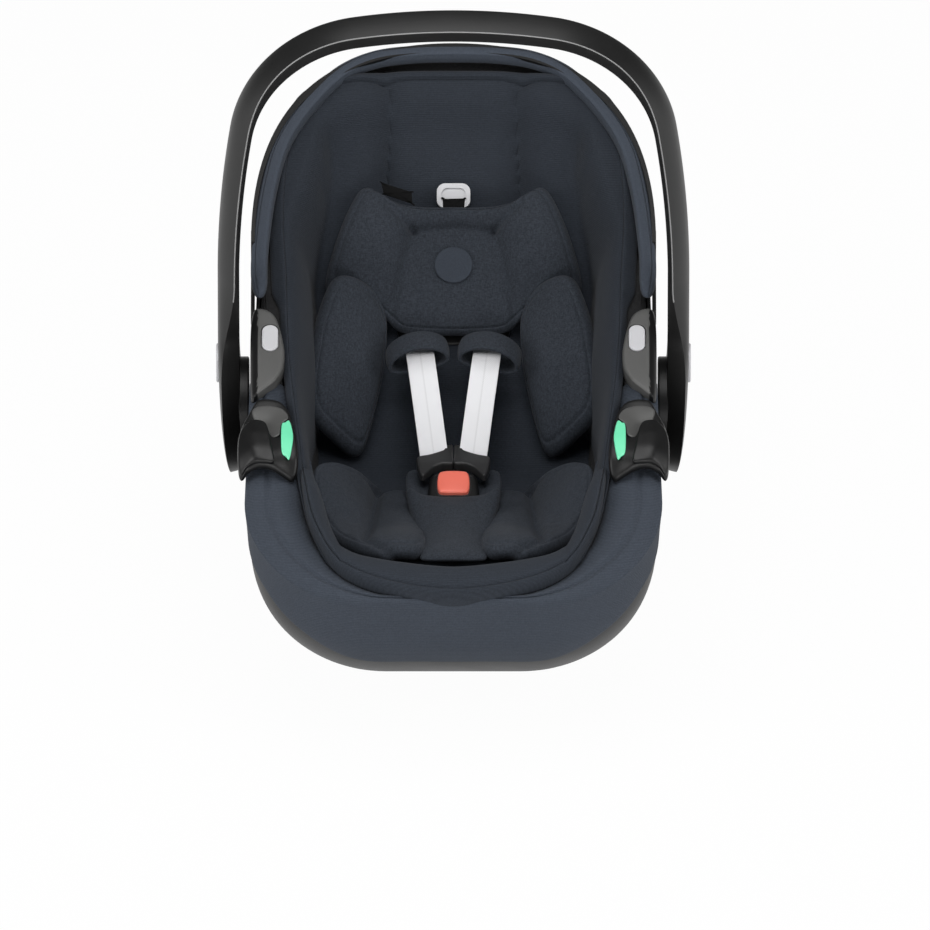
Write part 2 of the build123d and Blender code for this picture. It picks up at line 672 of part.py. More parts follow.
# Handle bearings: plain bushes pressed into the shell's bosses
with BuildPart() as hub_bearing:
    with BuildSketch(hub_plane(BOSS_FACE - BOSS_LENGTH)):
        Circle(BUSH_RADIUS)
        Circle(AXLE_RADIUS + RUN, mode=Mode.SUBTRACT)
    extrude(amount=BOSS_LENGTH)
export_pair("hub_bearing", hub_bearing)

with BuildPart() as hub_axle:
    with BuildSketch(hub_plane(BOSS_FACE - BOSS_LENGTH - GLIDE - AXLE_HEAD)):
        Circle(AXLE_HEAD_RADIUS)
    extrude(amount=AXLE_HEAD)
    with BuildSketch(hub_plane(BOSS_FACE - BOSS_LENGTH - GLIDE)):
        Circle(AXLE_RADIUS)
    extrude(amount=AXLE_END - BOSS_FACE + BOSS_LENGTH + GLIDE)
export_pair("hub_axle", hub_axle)

# Handle hubs: discs on the axles that carry the arch, each with a lock button in its outer face
button_floor = HANDLE_HALF + BUTTON_PROUD - HANDLE_BUTTON_THICK - SPRING_ROOM
with BuildPart() as handle_hub:
    with BuildSketch(hub_plane(ARM_INNER)):
        Circle(HUB_RADIUS)
        with Locations((0, (ARCH_START - FIT) / 2)):
            Rectangle(ARM_DEPTH, ARCH_START - FIT)
        make_hull()
    extrude(amount=ARM_THICK)
    rounded = handle_hub.faces().sort_by(Axis.X)[-1].edges().filter_by(GeomType.CIRCLE)
    fillet(rounded, HUB_ROUND)
    with BuildSketch(hub_plane(HUB_FACE)):
        Circle(HUB_DISC_RADIUS)
    extrude(amount=HUB_THICK - ARM_THICK)
    with BuildSketch(hub_plane(HUB_FACE)):
        Circle(AXLE_RADIUS + RUN)
    extrude(amount=AXLE_DEPTH + RUN, mode=Mode.SUBTRACT)
    with BuildSketch(hub_plane(button_floor)):
        with Locations((0, HANDLE_BUTTON_RISE)):
            SlotOverall(HANDLE_BUTTON_LENGTH + 2 * GLIDE, HANDLE_BUTTON_WIDTH + 2 * GLIDE, rotation=90)
    extrude(amount=HANDLE_HALF - button_floor, mode=Mode.SUBTRACT)
export_pair("handle_hub", handle_hub)

with BuildPart() as handle_button:
    with BuildSketch(hub_plane(button_floor + SPRING_ROOM)):
        with Locations((0, HANDLE_BUTTON_RISE)):
            SlotOverall(HANDLE_BUTTON_LENGTH, HANDLE_BUTTON_WIDTH, rotation=90)
    extrude(amount=HANDLE_BUTTON_THICK)
    fillet(handle_button.faces().sort_by(Axis.X)[-1].edges(), BUTTON_PROUD)
export_pair("handle_button", handle_button)

handle_spring_plane = hub_plane(button_floor, HANDLE_BUTTON_RISE)
handle_spring = leaf_spring(handle_spring_plane, HANDLE_BUTTON_LENGTH * SPRING_SHARE, HANDLE_BUTTON_WIDTH / 2)
with BuildPart() as handle_springs:
    add(handle_spring)
    mirror(handle_spring, about=Plane.YZ)
handle_springs.part.label = "handle_springs"
export_step(handle_springs.part, "parts/handle_springs.step")

# Handle arch: front and rear channels that meet in the middle
arch_outside = arch_band(0, ARM_THICK)
arch_inside = arch_band(ARM_WALL, ARM_THICK - ARM_WALL)
for name, way in (("handle_front", 1), ("handle_rear", -1)):
    with BuildPart() as handle_channel:
        with BuildSketch(ARCH):
            add(arch_outside)
        extrude(amount=way * ARM_DEPTH / 2)
        outer_face = handle_channel.faces().sort_by(Axis.Y)[-1 if way < 0 else 0]
        chamfer(outer_face.edges(), ARM_BEVEL)
        with BuildSketch(ARCH.offset(way * FIT / 4)):
            add(arch_inside)
        extrude(amount=way * (ARM_DEPTH / 2 - ARM_WALL - FIT), mode=Mode.SUBTRACT)
        split(bisect_by=ARCH.offset(way * FIT / 4), keep=Keep.TOP if way > 0 else Keep.BOTTOM)
    handle_channel.part.label = name
    export_step(handle_channel.part, f"parts/{name}.step")

# Canopy: holders in the shell, a bow with its arms and pins, and the folded cloth behind the head end
with BuildPart() as canopy_holder:
    with BuildSketch(canopy_plane(HOLDER_IN)):
        Circle(HOLDER_RADIUS)
        Circle(CANOPY_PIN + RUN, mode=Mode.SUBTRACT)
    extrude(amount=HOLDER_LENGTH)
export_pair("canopy_holder", canopy_holder)

bow_low = ROLL_HEIGHT + FIT
bow_reach = RIM_HEAD - CANOPY_SETBACK - CANOPY_T
arm_in = HOLDER_FACE + CANOPY_GAP
arm_out = arm_in + CANOPY_ARM
with BuildPart() as canopy_bow:
    with BuildSketch(RIM.offset(bow_low)):
        with BuildLine():
            for half, reach in ((arm_out, bow_reach), (arm_in, bow_reach - BOW_WIDTH)):
                for side in (1, -1):
                    Bezier(
                        (side * half, CANOPY_T),
                        (side * half, CANOPY_T + HEAD_FULLNESS * reach),
                        (side * HEAD_FULLNESS * half, CANOPY_T + reach),
                        (0, CANOPY_T + reach),
                    )
            for side in (1, -1):
                Line((side * arm_out, CANOPY_T), (side * arm_in, CANOPY_T))
        make_face()
    extrude(amount=BOW_HEIGHT)
    for x, inward in ((arm_in, -1), (-arm_out, 1)):
        with BuildSketch(canopy_plane(x)):
            Circle(CANOPY_BOSS)
            with Locations((CANOPY_BOSS / 2, bow_low - CANOPY_W + BOW_HEIGHT / 2)):
                Rectangle(CANOPY_BOSS, BOW_HEIGHT)
            make_hull()
            with Locations((-CANOPY_TAB / 2, 0)):
                SlotOverall(CANOPY_TAB + 2 * CANOPY_TAB_RADIUS, 2 * CANOPY_TAB_RADIUS)
        extrude(amount=CANOPY_ARM)
        with BuildSketch(canopy_plane(x + (CANOPY_ARM if inward > 0 else 0))):
            Circle(CANOPY_PIN)
        extrude(amount=inward * (HOLDER_LENGTH + CANOPY_GAP))
canopy_bow.part.label = "canopy_bow"
export_step(canopy_bow.part, "parts/canopy_bow.step")

cloth_in = -ROLL_OVERHANG - FIT
pleat = (CLOTH_DROP + ROLL_HEIGHT) / CLOTH_PLEATS
with BuildPart() as canopy_cloth:
    for row in range(CLOTH_PLEATS + 1):
        with BuildSketch(RIM.offset(row * pleat - CLOTH_DROP)):
            add(rim_egg(cloth_in - CLOTH_THICK - PLEAT_DEPTH * (row % 2)))
    loft(ruled=True)
    with BuildSketch(RIM.offset(-CLOTH_DROP)):
        add(rim_egg(cloth_in))
    extrude(amount=CLOTH_DROP + ROLL_HEIGHT, mode=Mode.SUBTRACT)
    split(bisect_by=SECTION.offset(-CANOPY_T - 2 * CANOPY_BOSS), keep=Keep.BOTTOM)
canopy_cloth.part.label = "canopy_cloth"
export_step(canopy_cloth.part, "parts/canopy_cloth.step")

# Headrest: a board that slides up the back, its pillow, badge disc and pull ring
pillow_base = FIT + BOARD_THICK + FIT
with BuildPart() as headrest_board:
    with BuildSketch(BACK.offset(FIT)):
        with Locations((0, (BOARD_NEAR + BOARD_FAR) / 2)):
            RectangleRounded(BOARD_WIDTH, BOARD_FAR - BOARD_NEAR, BOARD_CORNER)
    extrude(amount=BOARD_THICK)
headrest_board.part.label = "headrest_board"
export_step(headrest_board.part, "parts/headrest_board.step")

pillow_corners = PILLOW_OUTLINE + tuple((-x, y) for x, y in PILLOW_OUTLINE[:1:-1])
pillow_body = cushion(BACK, pillow_corners, PILLOW_ROUND, pillow_base, PILLOW_HEIGHT)
ring_near = BOARD_FAR + RING_TRAVEL
with BuildPart() as head_pillow:
    add(pillow_body)
    with BuildSketch(BACK.offset(pillow_base)):
        with Locations((0, ring_near)):
            Rectangle(TAPE_WIDTH + 2 * GLIDE, 2 * TAPE_LENGTH, align=(Align.CENTER, Align.MAX))
    extrude(amount=TAPE_THICK + GLIDE, mode=Mode.SUBTRACT)
head_pillow.part.label = "head_pillow"
export_step(head_pillow.part, "parts/head_pillow.step")

with BuildPart() as pillow_disc:
    with BuildSketch(BACK.offset(pillow_base + PILLOW_HEIGHT)):
        with Locations((0, DISC_S)):
            Circle(DISC_RADIUS)
    extrude(amount=DISC_THICK)
pillow_disc.part.label = "pillow_disc"
export_step(pillow_disc.part, "parts/pillow_disc.step")

with BuildPart() as headrest_ring:
    with BuildSketch(BACK.offset(pillow_base)):
        with Locations((0, ring_near + RING_LENGTH / 2)):
            RectangleRounded(RING_WIDTH, RING_LENGTH, RING_ROUND)
            RectangleRounded(
                RING_WIDTH - 2 * RING_BAR,
                RING_LENGTH - 2 * RING_BAR,
                RING_ROUND - RING_BAR / 2,
                mode=Mode.SUBTRACT,
            )
    extrude(amount=RING_THICK)
headrest_ring.part.label = "headrest_ring"
export_step(headrest_ring.part, "parts/headrest_ring.step")

with BuildPart() as ring_tape:
    with BuildSketch(BACK.offset(pillow_base)):
        with Locations((0, ring_near - FIT)):
            Rectangle(TAPE_WIDTH, TAPE_LENGTH, align=(Align.CENTER, Align.MAX))
    extrude(amount=TAPE_THICK)
ring_tape.part.label = "ring_tape"
export_step(ring_tape.part, "parts/ring_tape.step")

# Cushions: side bolsters beside the child, leg pads and the pad under the buckle
bolster_cos = cos(radians(BOLSTER_TILT))
bolster_sin = sin(radians(BOLSTER_TILT))
bolster_plane = Plane(
    BACK.from_local_coords((BOLSTER_X, 0, 0)),
    x_dir=X_DIR * bolster_cos + BACK_NORMAL * bolster_sin,
    z_dir=BACK_NORMAL * bolster_cos - X_DIR * bolster_sin,
)
bolster_body = cushion(bolster_plane, BOLSTER_OUTLINE, BOLSTER_ROUND, FIT, BOLSTER_HEIGHT)
with BuildPart() as side_bolster:
    add(bolster_body)
    add(seat_room, mode=Mode.INTERSECT)
export_pair("side_bolster", side_bolster)

leg_body = cushion(SEAT, LEG_OUTLINE, LEG_ROUND, FIT, LEG_HEIGHT)
with BuildPart() as leg_pad:
    add(leg_body)
    add(seat_room, mode=Mode.INTERSECT)
export_pair("leg_pad", leg_pad)

crotch_corners = CROTCH_OUTLINE + tuple((-x, y) for x, y in CROTCH_OUTLINE[::-1])
crotch_body = cushion(SEAT, crotch_corners, CROTCH_ROUND, FIT, CROTCH_HEIGHT)
with BuildPart() as crotch_pad:
    add(crotch_body)
    add(crotch_slot.part, mode=Mode.SUBTRACT)
crotch_pad.part.label = "crotch_pad"
export_step(crotch_pad.part, "parts/crotch_pad.step")

# Buckle: housing on the crotch strap, with its button, spring and two tongues
buckle_low = BUCKLE_Z - BUCKLE_HEIGHT / 2
buckle_top = BUCKLE_Z + BUCKLE_HEIGHT / 2
buckle_end = BUCKLE_Y + BUCKLE_LENGTH / 2
press_y = BUCKLE_Y - BUCKLE_BUTTON_SHIFT
press_floor = buckle_top + BUTTON_PROUD - BUCKLE_BUTTON_THICK - SPRING_ROOM
with BuildPart() as buckle_housing:
    with BuildSketch(Plane.XY.offset(buckle_low)):
        with Locations((0, BUCKLE_Y)):
            RectangleRounded(BUCKLE_WIDTH, BUCKLE_LENGTH, 2 * BUCKLE_ROUND)
    extrude(amount=BUCKLE_HEIGHT)
    fillet(buckle_housing.faces().sort_by(Axis.Z)[-1].edges(), BUCKLE_ROUND)
    with BuildSketch(Plane.XY.offset(press_floor)):
        with Locations((0, press_y)):
            RectangleRounded(
                BUCKLE_BUTTON_WIDTH + 2 * GLIDE, BUCKLE_BUTTON_LENGTH + 2 * GLIDE, BUCKLE_ROUND + GLIDE
            )
    extrude(amount=buckle_top - press_floor, mode=Mode.SUBTRACT)
    with BuildSketch(Plane.XY.offset(BUCKLE_Z - TONGUE_THICK / 2 - GLIDE)):
        with Locations((0, buckle_end)):
            Rectangle(
                2 * (TONGUE_BLADE + GLIDE), TONGUE_INSERT + GLIDE, align=(Align.CENTER, Align.MAX)
            )
    extrude(amount=TONGUE_THICK + 2 * GLIDE, mode=Mode.SUBTRACT)
buckle_housing.part.label = "buckle_housing"
export_step(buckle_housing.part, "parts/buckle_housing.step")

with BuildPart() as buckle_button:
    with BuildSketch(Plane.XY.offset(press_floor + SPRING_ROOM)):
        with Locations((0, press_y)):
            RectangleRounded(BUCKLE_BUTTON_WIDTH, BUCKLE_BUTTON_LENGTH, BUCKLE_ROUND)
    extrude(amount=BUCKLE_BUTTON_THICK)
    fillet(buckle_button.faces().sort_by(Axis.Z)[-1].edges(), BUTTON_PROUD)
buckle_button.part.label = "buckle_button"
export_step(buckle_button.part, "parts/buckle_button.step")

press_plane = Plane((0, press_y, press_floor))
press_spring = leaf_spring(press_plane, BUCKLE_BUTTON_LENGTH * SPRING_SHARE, BUCKLE_BUTTON_WIDTH / 2)
with BuildPart() as buckle_spring:
    add(press_spring)
buckle_spring.part.label = "buckle_spring"
export_step(buckle_spring.part, "parts/buckle_spring.step")

tongue_low = BUCKLE_Z - TONGUE_THICK / 2
with BuildPart() as tongue:
    with BuildSketch(Plane.XY.offset(tongue_low)):
        with Locations((GLIDE / 2, buckle_end)):
            Rectangle(TONGUE_BLADE - GLIDE, TONGUE_INSERT, align=(Align.MIN, Align.MAX))
        with Locations((GLIDE / 2, buckle_end + GLIDE)):
            Rectangle(TONGUE_BLADE - GLIDE, GLIDE, align=(Align.MIN, Align.MAX))
            Rectangle(TONGUE_HALF - GLIDE, TONGUE_HEAD, align=(Align.MIN, Align.MIN))
        with Locations((TONGUE_HALF / 2, buckle_end + GLIDE + TONGUE_SLOT_AT)):
            Rectangle(WEB_WIDTH + 2 * GLIDE, TONGUE_SLOT, mode=Mode.SUBTRACT)
    extrude(amount=TONGUE_THICK)
export_pair("buckle_tongue", tongue)

# Shoulder straps: webbing from the tongues, through the shoulder pads, to the slots under the pillow
strap_low = BUCKLE_Z + TONGUE_THICK / 2 + WEB_THICK
strap_foot = Vector(TONGUE_HALF / 2, buckle_end + GLIDE + TONGUE_SLOT_AT, strap_low)
strap_bend = BACK.from_local_coords((STRAP_SHOULDER_X, STRAP_SHOULDER_S, STRAP_SHOULDER_H))
strap_end = BACK.from_local_coords((STRAP_SHOULDER_X, STRAP_END_S, pillow_base + WEB_THICK))
strap_rise = (strap_bend - strap_foot).normalized()
strap_dip = (strap_end - strap_bend).normalized()
strap_across = (X_DIR - strap_rise * strap_rise.dot(X_DIR)).normalized()
with BuildPart() as shoulder_strap:
    for spot, heading in (
        (strap_foot, strap_rise),
        (strap_bend, (strap_rise + strap_dip).normalized()),
        (strap_end, strap_dip),
    ):
        across = strap_across - heading * heading.dot(strap_across)
        with BuildSketch(Plane(spot, x_dir=across, z_dir=heading)):
            Rectangle(WEB_WIDTH, WEB_THICK)
    loft(ruled=True)
export_pair("shoulder_strap", shoulder_strap)

pad_start = strap_bend - strap_rise * PAD_DROP
with BuildPart() as shoulder_pad:
    with BuildSketch(Plane(pad_start, x_dir=strap_across, z_dir=strap_rise)):
        with Locations((PAD_SHIFT, 0)):
            RectangleRounded(PAD_WIDTH, PAD_THICK, PAD_ROUND)
        Rectangle(WEB_WIDTH + 2 * GLIDE, WEB_THICK + 2 * GLIDE, mode=Mode.SUBTRACT)
    extrude(amount=PAD_LENGTH)
export_pair("shoulder_pad", shoulder_pad)

# Crotch strap through the seat, held under the bucket by its anchor
with BuildPart() as crotch_strap:
    with BuildSketch(CROTCH_PLANE.offset(-UNDER_BUCKET)):
        Rectangle(WEB_WIDTH, WEB_THICK)
    extrude(amount=UNDER_BUCKET + CROTCH_TOP)
crotch_strap.part.label = "crotch_strap"
export_step(crotch_strap.part, "parts/crotch_strap.step")

anchor_top = UNDER_BUCKET + FIT / 2
with BuildPart() as crotch_anchor:
    with BuildSketch(CROTCH_PLANE.offset(-anchor_top - ANCHOR_THICK)):
        Rectangle(ANCHOR_WIDTH, ANCHOR_LENGTH)
    extrude(amount=ANCHOR_THICK)
crotch_anchor.part.label = "crotch_anchor"
export_step(crotch_anchor.part, "parts/crotch_anchor.step")

# Harness yoke behind the back, and the strap from it under the seat to the adjuster
with BuildPart() as harness_yoke:
    with BuildSketch(BACK.offset(-anchor_top - ANCHOR_THICK)):
        with Locations((0, YOKE_S)):
            RectangleRounded(YOKE_WIDTH, YOKE_LENGTH, ANCHOR_THICK)
    extrude(amount=ANCHOR_THICK)
harness_yoke.part.label = "harness_yoke"
export_step(harness_yoke.part, "parts/harness_yoke.step")

tail_in = anchor_top + ANCHOR_THICK + FIT
tail_ends = (YOKE_S, ADJUSTER_NEAR + ADJUSTER_LENGTH)
tail_points = []
for depth in (tail_in, tail_in + WEB_THICK):
    back_spot = (CREASE_T + BACK_RUN[0] * tail_ends[0], CREASE_W + BACK_RUN[1] * tail_ends[0])
    seat_spot = (CREASE_T - SEAT_RUN[0] * tail_ends[1], CREASE_W - SEAT_RUN[1] * tail_ends[1])
    row = [
        (back_spot[0] + depth * BACK_RUN[1], back_spot[1] - depth * BACK_RUN[0]),
        crease_at(depth),
        (seat_spot[0] + depth * SEAT_RUN[1], seat_spot[1] - depth * SEAT_RUN[0]),
    ]
    tail_points += row if depth == tail_in else row[::-1]
with BuildPart() as adjuster_strap:
    with BuildSketch(SIDE):
        with BuildLine():
            Polyline(*tail_points, close=True)
        make_face()
    extrude(amount=WEB_WIDTH / 2, both=True)
adjuster_strap.part.label = "adjuster_strap"
export_step(adjuster_strap.part, "parts/adjuster_strap.step")

adjuster_middle = (0, -ADJUSTER_NEAR - ADJUSTER_LENGTH / 2)
adjuster_floor = FIT + ADJUSTER_HEIGHT + BUTTON_PROUD - ADJUSTER_BUTTON_THICK - SPRING_ROOM
with BuildPart() as adjuster_housing:
    with BuildSketch(SEAT.offset(FIT)):
        with Locations(adjuster_middle):
            RectangleRounded(ADJUSTER_WIDTH, ADJUSTER_LENGTH, 2 * ADJUSTER_ROUND)
    extrude(amount=ADJUSTER_HEIGHT)
    with BuildSketch(SEAT.offset(adjuster_floor)):
        with Locations(adjuster_middle):
            Rectangle(ADJUSTER_BUTTON_WIDTH + 2 * GLIDE, ADJUSTER_BUTTON_LENGTH + 2 * GLIDE)
    extrude(amount=ADJUSTER_HEIGHT, mode=Mode.SUBTRACT)
adjuster_housing.part.label = "adjuster_housing"
export_step(adjuster_housing.part, "parts/adjuster_housing.step")

with BuildPart() as adjuster_button:
    with BuildSketch(SEAT.offset(adjuster_floor + SPRING_ROOM)):
        with Locations(adjuster_middle):
            Rectangle(ADJUSTER_BUTTON_WIDTH, ADJUSTER_BUTTON_LENGTH)
    extrude(amount=ADJUSTER_BUTTON_THICK)
adjuster_button.part.label = "adjuster_button"
export_step(adjuster_button.part, "parts/adjuster_button.step")
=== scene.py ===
"""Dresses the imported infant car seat: fabric, padding, webbing and moulded plastic over its CAD frame.

Shapes are worked out in millimetres in the seat's own planes (rim, back and seat) and put into
meshes in metres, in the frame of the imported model.
"""

import math

import bmesh
import bpy
import numpy as np
from bpy.props import FloatProperty, FloatVectorProperty, PointerProperty
from mathutils.kdtree import KDTree
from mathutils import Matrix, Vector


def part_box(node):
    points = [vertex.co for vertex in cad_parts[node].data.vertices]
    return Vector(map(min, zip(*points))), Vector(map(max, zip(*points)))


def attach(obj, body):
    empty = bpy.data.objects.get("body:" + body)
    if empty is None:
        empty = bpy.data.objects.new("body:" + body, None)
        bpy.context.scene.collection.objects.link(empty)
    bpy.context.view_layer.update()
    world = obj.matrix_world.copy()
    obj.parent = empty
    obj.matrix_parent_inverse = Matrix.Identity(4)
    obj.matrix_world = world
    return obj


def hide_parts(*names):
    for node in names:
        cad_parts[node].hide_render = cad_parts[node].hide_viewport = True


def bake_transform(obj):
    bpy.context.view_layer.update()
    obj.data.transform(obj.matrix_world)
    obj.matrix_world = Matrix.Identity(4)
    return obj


bl_info = {
    "name": "Infant Car Seat Finishes",
    "version": (1, 0, 0),
    "blender": (4, 5, 0),
    "location": "View3D > Sidebar > Car Seat",
    "description": "Upholsters and finishes a packed infant car seat",
    "category": "Add Mesh",
}

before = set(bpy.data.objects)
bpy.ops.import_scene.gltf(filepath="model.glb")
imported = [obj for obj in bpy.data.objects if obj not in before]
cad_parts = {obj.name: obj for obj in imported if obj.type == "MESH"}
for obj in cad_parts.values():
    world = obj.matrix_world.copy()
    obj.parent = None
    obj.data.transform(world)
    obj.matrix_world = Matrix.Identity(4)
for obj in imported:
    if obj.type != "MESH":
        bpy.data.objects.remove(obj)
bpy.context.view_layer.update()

MM = 0.001
TINY = 1e-9
ACROSS = np.array((1.0, 0.0, 0.0))
RIM_MID = np.array((0.0, 0.0, 271.0))
RIM_ALONG = np.array((0.0, 0.939693, 0.342020))
RIM_UP = np.array((0.0, -0.342020, 0.939693))
CREASE = np.array((0.0, -19.858, 106.274))
BACK_ALONG = np.array((0.0, 0.746264, 0.665650))
BACK_UP = np.array((0.0, -0.665650, 0.746264))
SEAT_ALONG = np.array((0.0, -0.971244, 0.238087))
SEAT_UP = np.array((0.0, 0.238087, 0.971244))
BOLSTER_LEAN = math.radians(30)
BOLSTER_ACROSS = ACROSS * math.cos(BOLSTER_LEAN) + BACK_UP * math.sin(BOLSTER_LEAN)
BOLSTER_UP = BACK_UP * math.cos(BOLSTER_LEAN) - ACROSS * math.sin(BOLSTER_LEAN)
BOLSTER_MID = CREASE + 77.0 * ACROSS
# Most that the cloth simulation moves the cushions, in metres
BOLSTER_SWELL, PAD_SWELL = 0.005, 0.007

# Hull sections below the rim: depth, foot end, head end, half width, corner radius
HULL = np.array((
    (0, -335, 335, 189, 120),
    (70, -338, 314, 185, 117.6),
    (140, -300, 268, 171, 109.2),
    (200, -230, 215, 149, 96),
    (255, -150, 148, 120, 78.6),
    (300, -60, 52, 90, 60.6),
    (330, -40, 0, 60, 42.6),
), dtype=float)
SIDES = (("right", 1.0), ("left", -1.0))
HEAD_NARROWING = 8.0
HEAD_FULLNESS = 0.66
BELLY_SEAM = 24.0


def plane(mid, across, along, up):
    """Makes the function that places x across, run along and rise above a plane, in millimetres."""

    def place(x, run, rise):
        x, run, rise = np.broadcast_arrays(*(np.asarray(value, float) for value in (x, run, rise)))
        return mid + x[..., None] * across + run[..., None] * along + rise[..., None] * up

    return place


rim = plane(RIM_MID, ACROSS, RIM_ALONG, RIM_UP)
back = plane(CREASE, ACROSS, BACK_ALONG, BACK_UP)
seat = plane(CREASE, ACROSS, SEAT_ALONG, SEAT_UP)
bolster = plane(BOLSTER_MID, BOLSTER_ACROSS, BACK_ALONG, BOLSTER_UP)


def unit(vectors):
    """The vectors at length 1."""
    return vectors / np.maximum(np.linalg.norm(vectors, axis=-1, keepdims=True), TINY)


def full_turn(count):
    """Even angles once round."""
    return np.linspace(0, 2 * math.pi, count, endpoint=False)


def run_along(path):
    """Length of a path up to each of its points."""
    return np.concatenate([[0], np.cumsum(np.linalg.norm(np.diff(path, axis=0), axis=1))])


def round_heading(line):
    """Headings along a closed line."""
    return unit(np.roll(line, -1, 0) - np.roll(line, 1, 0))


def quarter_turn(heading):
    """Headings in a plane turned a quarter to the left."""
    return np.stack([-heading[:, 1], heading[:, 0]], 1)


def outward(edge, heading, heart=0.0):
    """Directions square to an edge, away from its heart."""
    out = quarter_turn(heading)
    return np.where(((edge - heart) * out).sum(1, keepdims=True) > 0, out, -out)


def mirrored(points):
    """The same points on the other side of the seat."""
    return points * np.array((-1.0,) + (1.0,) * (points.shape[-1] - 1))


def sides_of(grid):
    """The grid for the right side and its mirror image for the left, with the names of the sides."""
    return (("right", grid), ("left", mirrored(grid)))


def twins(points):
    """Each point, followed by its mirror image in x where it lies off the middle line."""
    return [(way * x, *rest) for x, *rest in points for way in ((1, -1) if x else (1,))]


def doubled(points, first, second):
    """Two points near each corner, so that a curve through them keeps the corner tight."""
    return np.repeat(points, 2, 0) + np.tile((first, second), (len(points), 1))


def smooth(value, low, high):
    """Rises from 0 at low to 1 at high as 3q² - 2q³."""
    q = np.clip((value - low) / (high - low), 0, 1)
    return q * q * (3 - 2 * q)


def smooth_max(a, b, ease):
    """Upper of two heights, eased by a hyperbola where they cross."""
    return (a + b + np.sqrt((a - b) ** 2 + ease**2)) / 2


def catmull(points, at):
    """Catmull-Rom curve through the points, read at places counted in points from the first."""
    points = np.asarray(points, float)
    ends = np.concatenate([2 * points[:1] - points[1:2], points, 2 * points[-1:] - points[-2:-1]])
    first = np.clip(np.floor(at).astype(int), 0, len(points) - 2)
    f = (at - first).reshape((-1,) + (1,) * (points.ndim - 1))
    a, b, c, d = (ends[first + k] for k in range(4))
    return (2 * b + (c - a) * f + (2 * a - 5 * b + 4 * c - d) * f**2 + (3 * b - a - 3 * c + d) * f**3) / 2


def spline(points, count, closed=False):
    """Catmull-Rom curve through the points, resampled at even steps of its length."""
    fine, over = 24, 3
    points = np.asarray(points, float)
    if closed:
        points = np.concatenate([points[-over:], points, points[:over]])
    dense = catmull(points, np.linspace(0, len(points) - 1, fine * (len(points) - 1) + 1))
    if closed:
        dense = dense[over * fine : (1 - over) * fine]
    run = run_along(dense)
    at = np.linspace(0, run[-1], count, endpoint=not closed)
    return np.stack([np.interp(at, run, dense[:, k]) for k in range(dense.shape[1])], axis=1)


def both_sides(points):
    """A half outline from one end of the middle line to the other, closed by its mirror image in x."""
    points = np.asarray(points, float)
    return np.concatenate([points, mirrored(points[1:-1][::-1])])


def right_to_left(points):
    """A right half path that ends on the middle line, carried on by its mirror image in x."""
    points = np.asarray(points, float)
    return np.concatenate([points, mirrored(points[:-1][::-1])])


def thin_plate(points, plan):
    """Heights over a plan: the thin-plate spline, r² log r with a tilted plane, through the given points."""
    points = np.asarray(points, float)
    knots, heights = points[:, :2], points[:, 2]

    def terms(where):
        gap = ((where[:, None] - knots[None]) ** 2).sum(-1)
        return gap * np.log(np.maximum(gap, TINY)) / 2, np.column_stack([np.ones(len(where)), where])

    bend, flat = terms(knots)
    size = len(knots)
    system = np.zeros((size + 3, size + 3))
    system[:size, :size], system[:size, size:], system[size:, :size] = bend, flat, flat.T
    weights = np.linalg.solve(system, np.concatenate([heights, np.zeros(3)]))
    bend, flat = terms(plan.reshape(-1, 2))
    return (bend @ weights[:size] + flat @ weights[size:]).reshape(plan.shape[:-1])


def line_gap(plan, line):
    """Distance from each place to the nearest of the points along a line."""
    flat = plan.reshape(-1, plan.shape[-1])
    blocks = np.array_split(flat, 16)
    gaps = [np.sqrt(((block[:, None] - line[None]) ** 2).sum(-1)).min(1) for block in blocks]
    return np.concatenate(gaps).reshape(plan.shape[:-1])


def corners(grid, axis):
    """The four corners of each quad of a grid, stacked along an axis."""
    return np.stack([grid[:-1, :-1], grid[:-1, 1:], grid[1:, 1:], grid[1:, :-1]], axis)


def shade_smooth(mesh, sharp):
    """Shades a mesh smooth, but for edges sharper than the angle in degrees."""
    mesh.polygons.foreach_set("use_smooth", np.ones(len(mesh.polygons), dtype=bool))
    mesh.set_sharp_from_angle(angle=math.radians(sharp))


def skin(name, grid, round_u=False, round_v=False, uv=None, facing=None, sharp=40.0):
    """Quads between neighbouring points of a grid in millimetres, joined where it comes round.

    Doubles are merged and faces turned outwards, or towards facing on an open sheet.
    """
    rows, cols = grid.shape[:2]
    index = np.arange(rows * cols).reshape(rows, cols)
    if round_u:
        index = np.vstack([index, index[:1]])
    if round_v:
        index = np.hstack([index, index[:, :1]])
    faces = corners(index, -1).reshape(-1, 4)
    mesh = bpy.data.meshes.new(name)
    mesh.from_pydata((grid.reshape(-1, 3) * MM).tolist(), [], faces.tolist())
    if uv is not None:
        mesh.uv_layers.new(name="UVMap").data.foreach_set("uv", corners(uv, -2).reshape(-1))
    work = bmesh.new()
    work.from_mesh(mesh)
    bmesh.ops.remove_doubles(work, verts=work.verts, dist=1e-6)
    bmesh.ops.dissolve_degenerate(work, edges=work.edges, dist=1e-7)
    bmesh.ops.recalc_face_normals(work, faces=work.faces)
    if facing is not None:
        work.normal_update()
        if sum((face.normal * face.calc_area()).dot(facing) for face in work.faces) < 0:
            bmesh.ops.reverse_faces(work, faces=work.faces)
    work.to_mesh(mesh)
    work.free()
    shade_smooth(mesh, sharp)
    piece = bpy.data.objects.new(name, mesh)
    bpy.context.collection.objects.link(piece)
    return piece


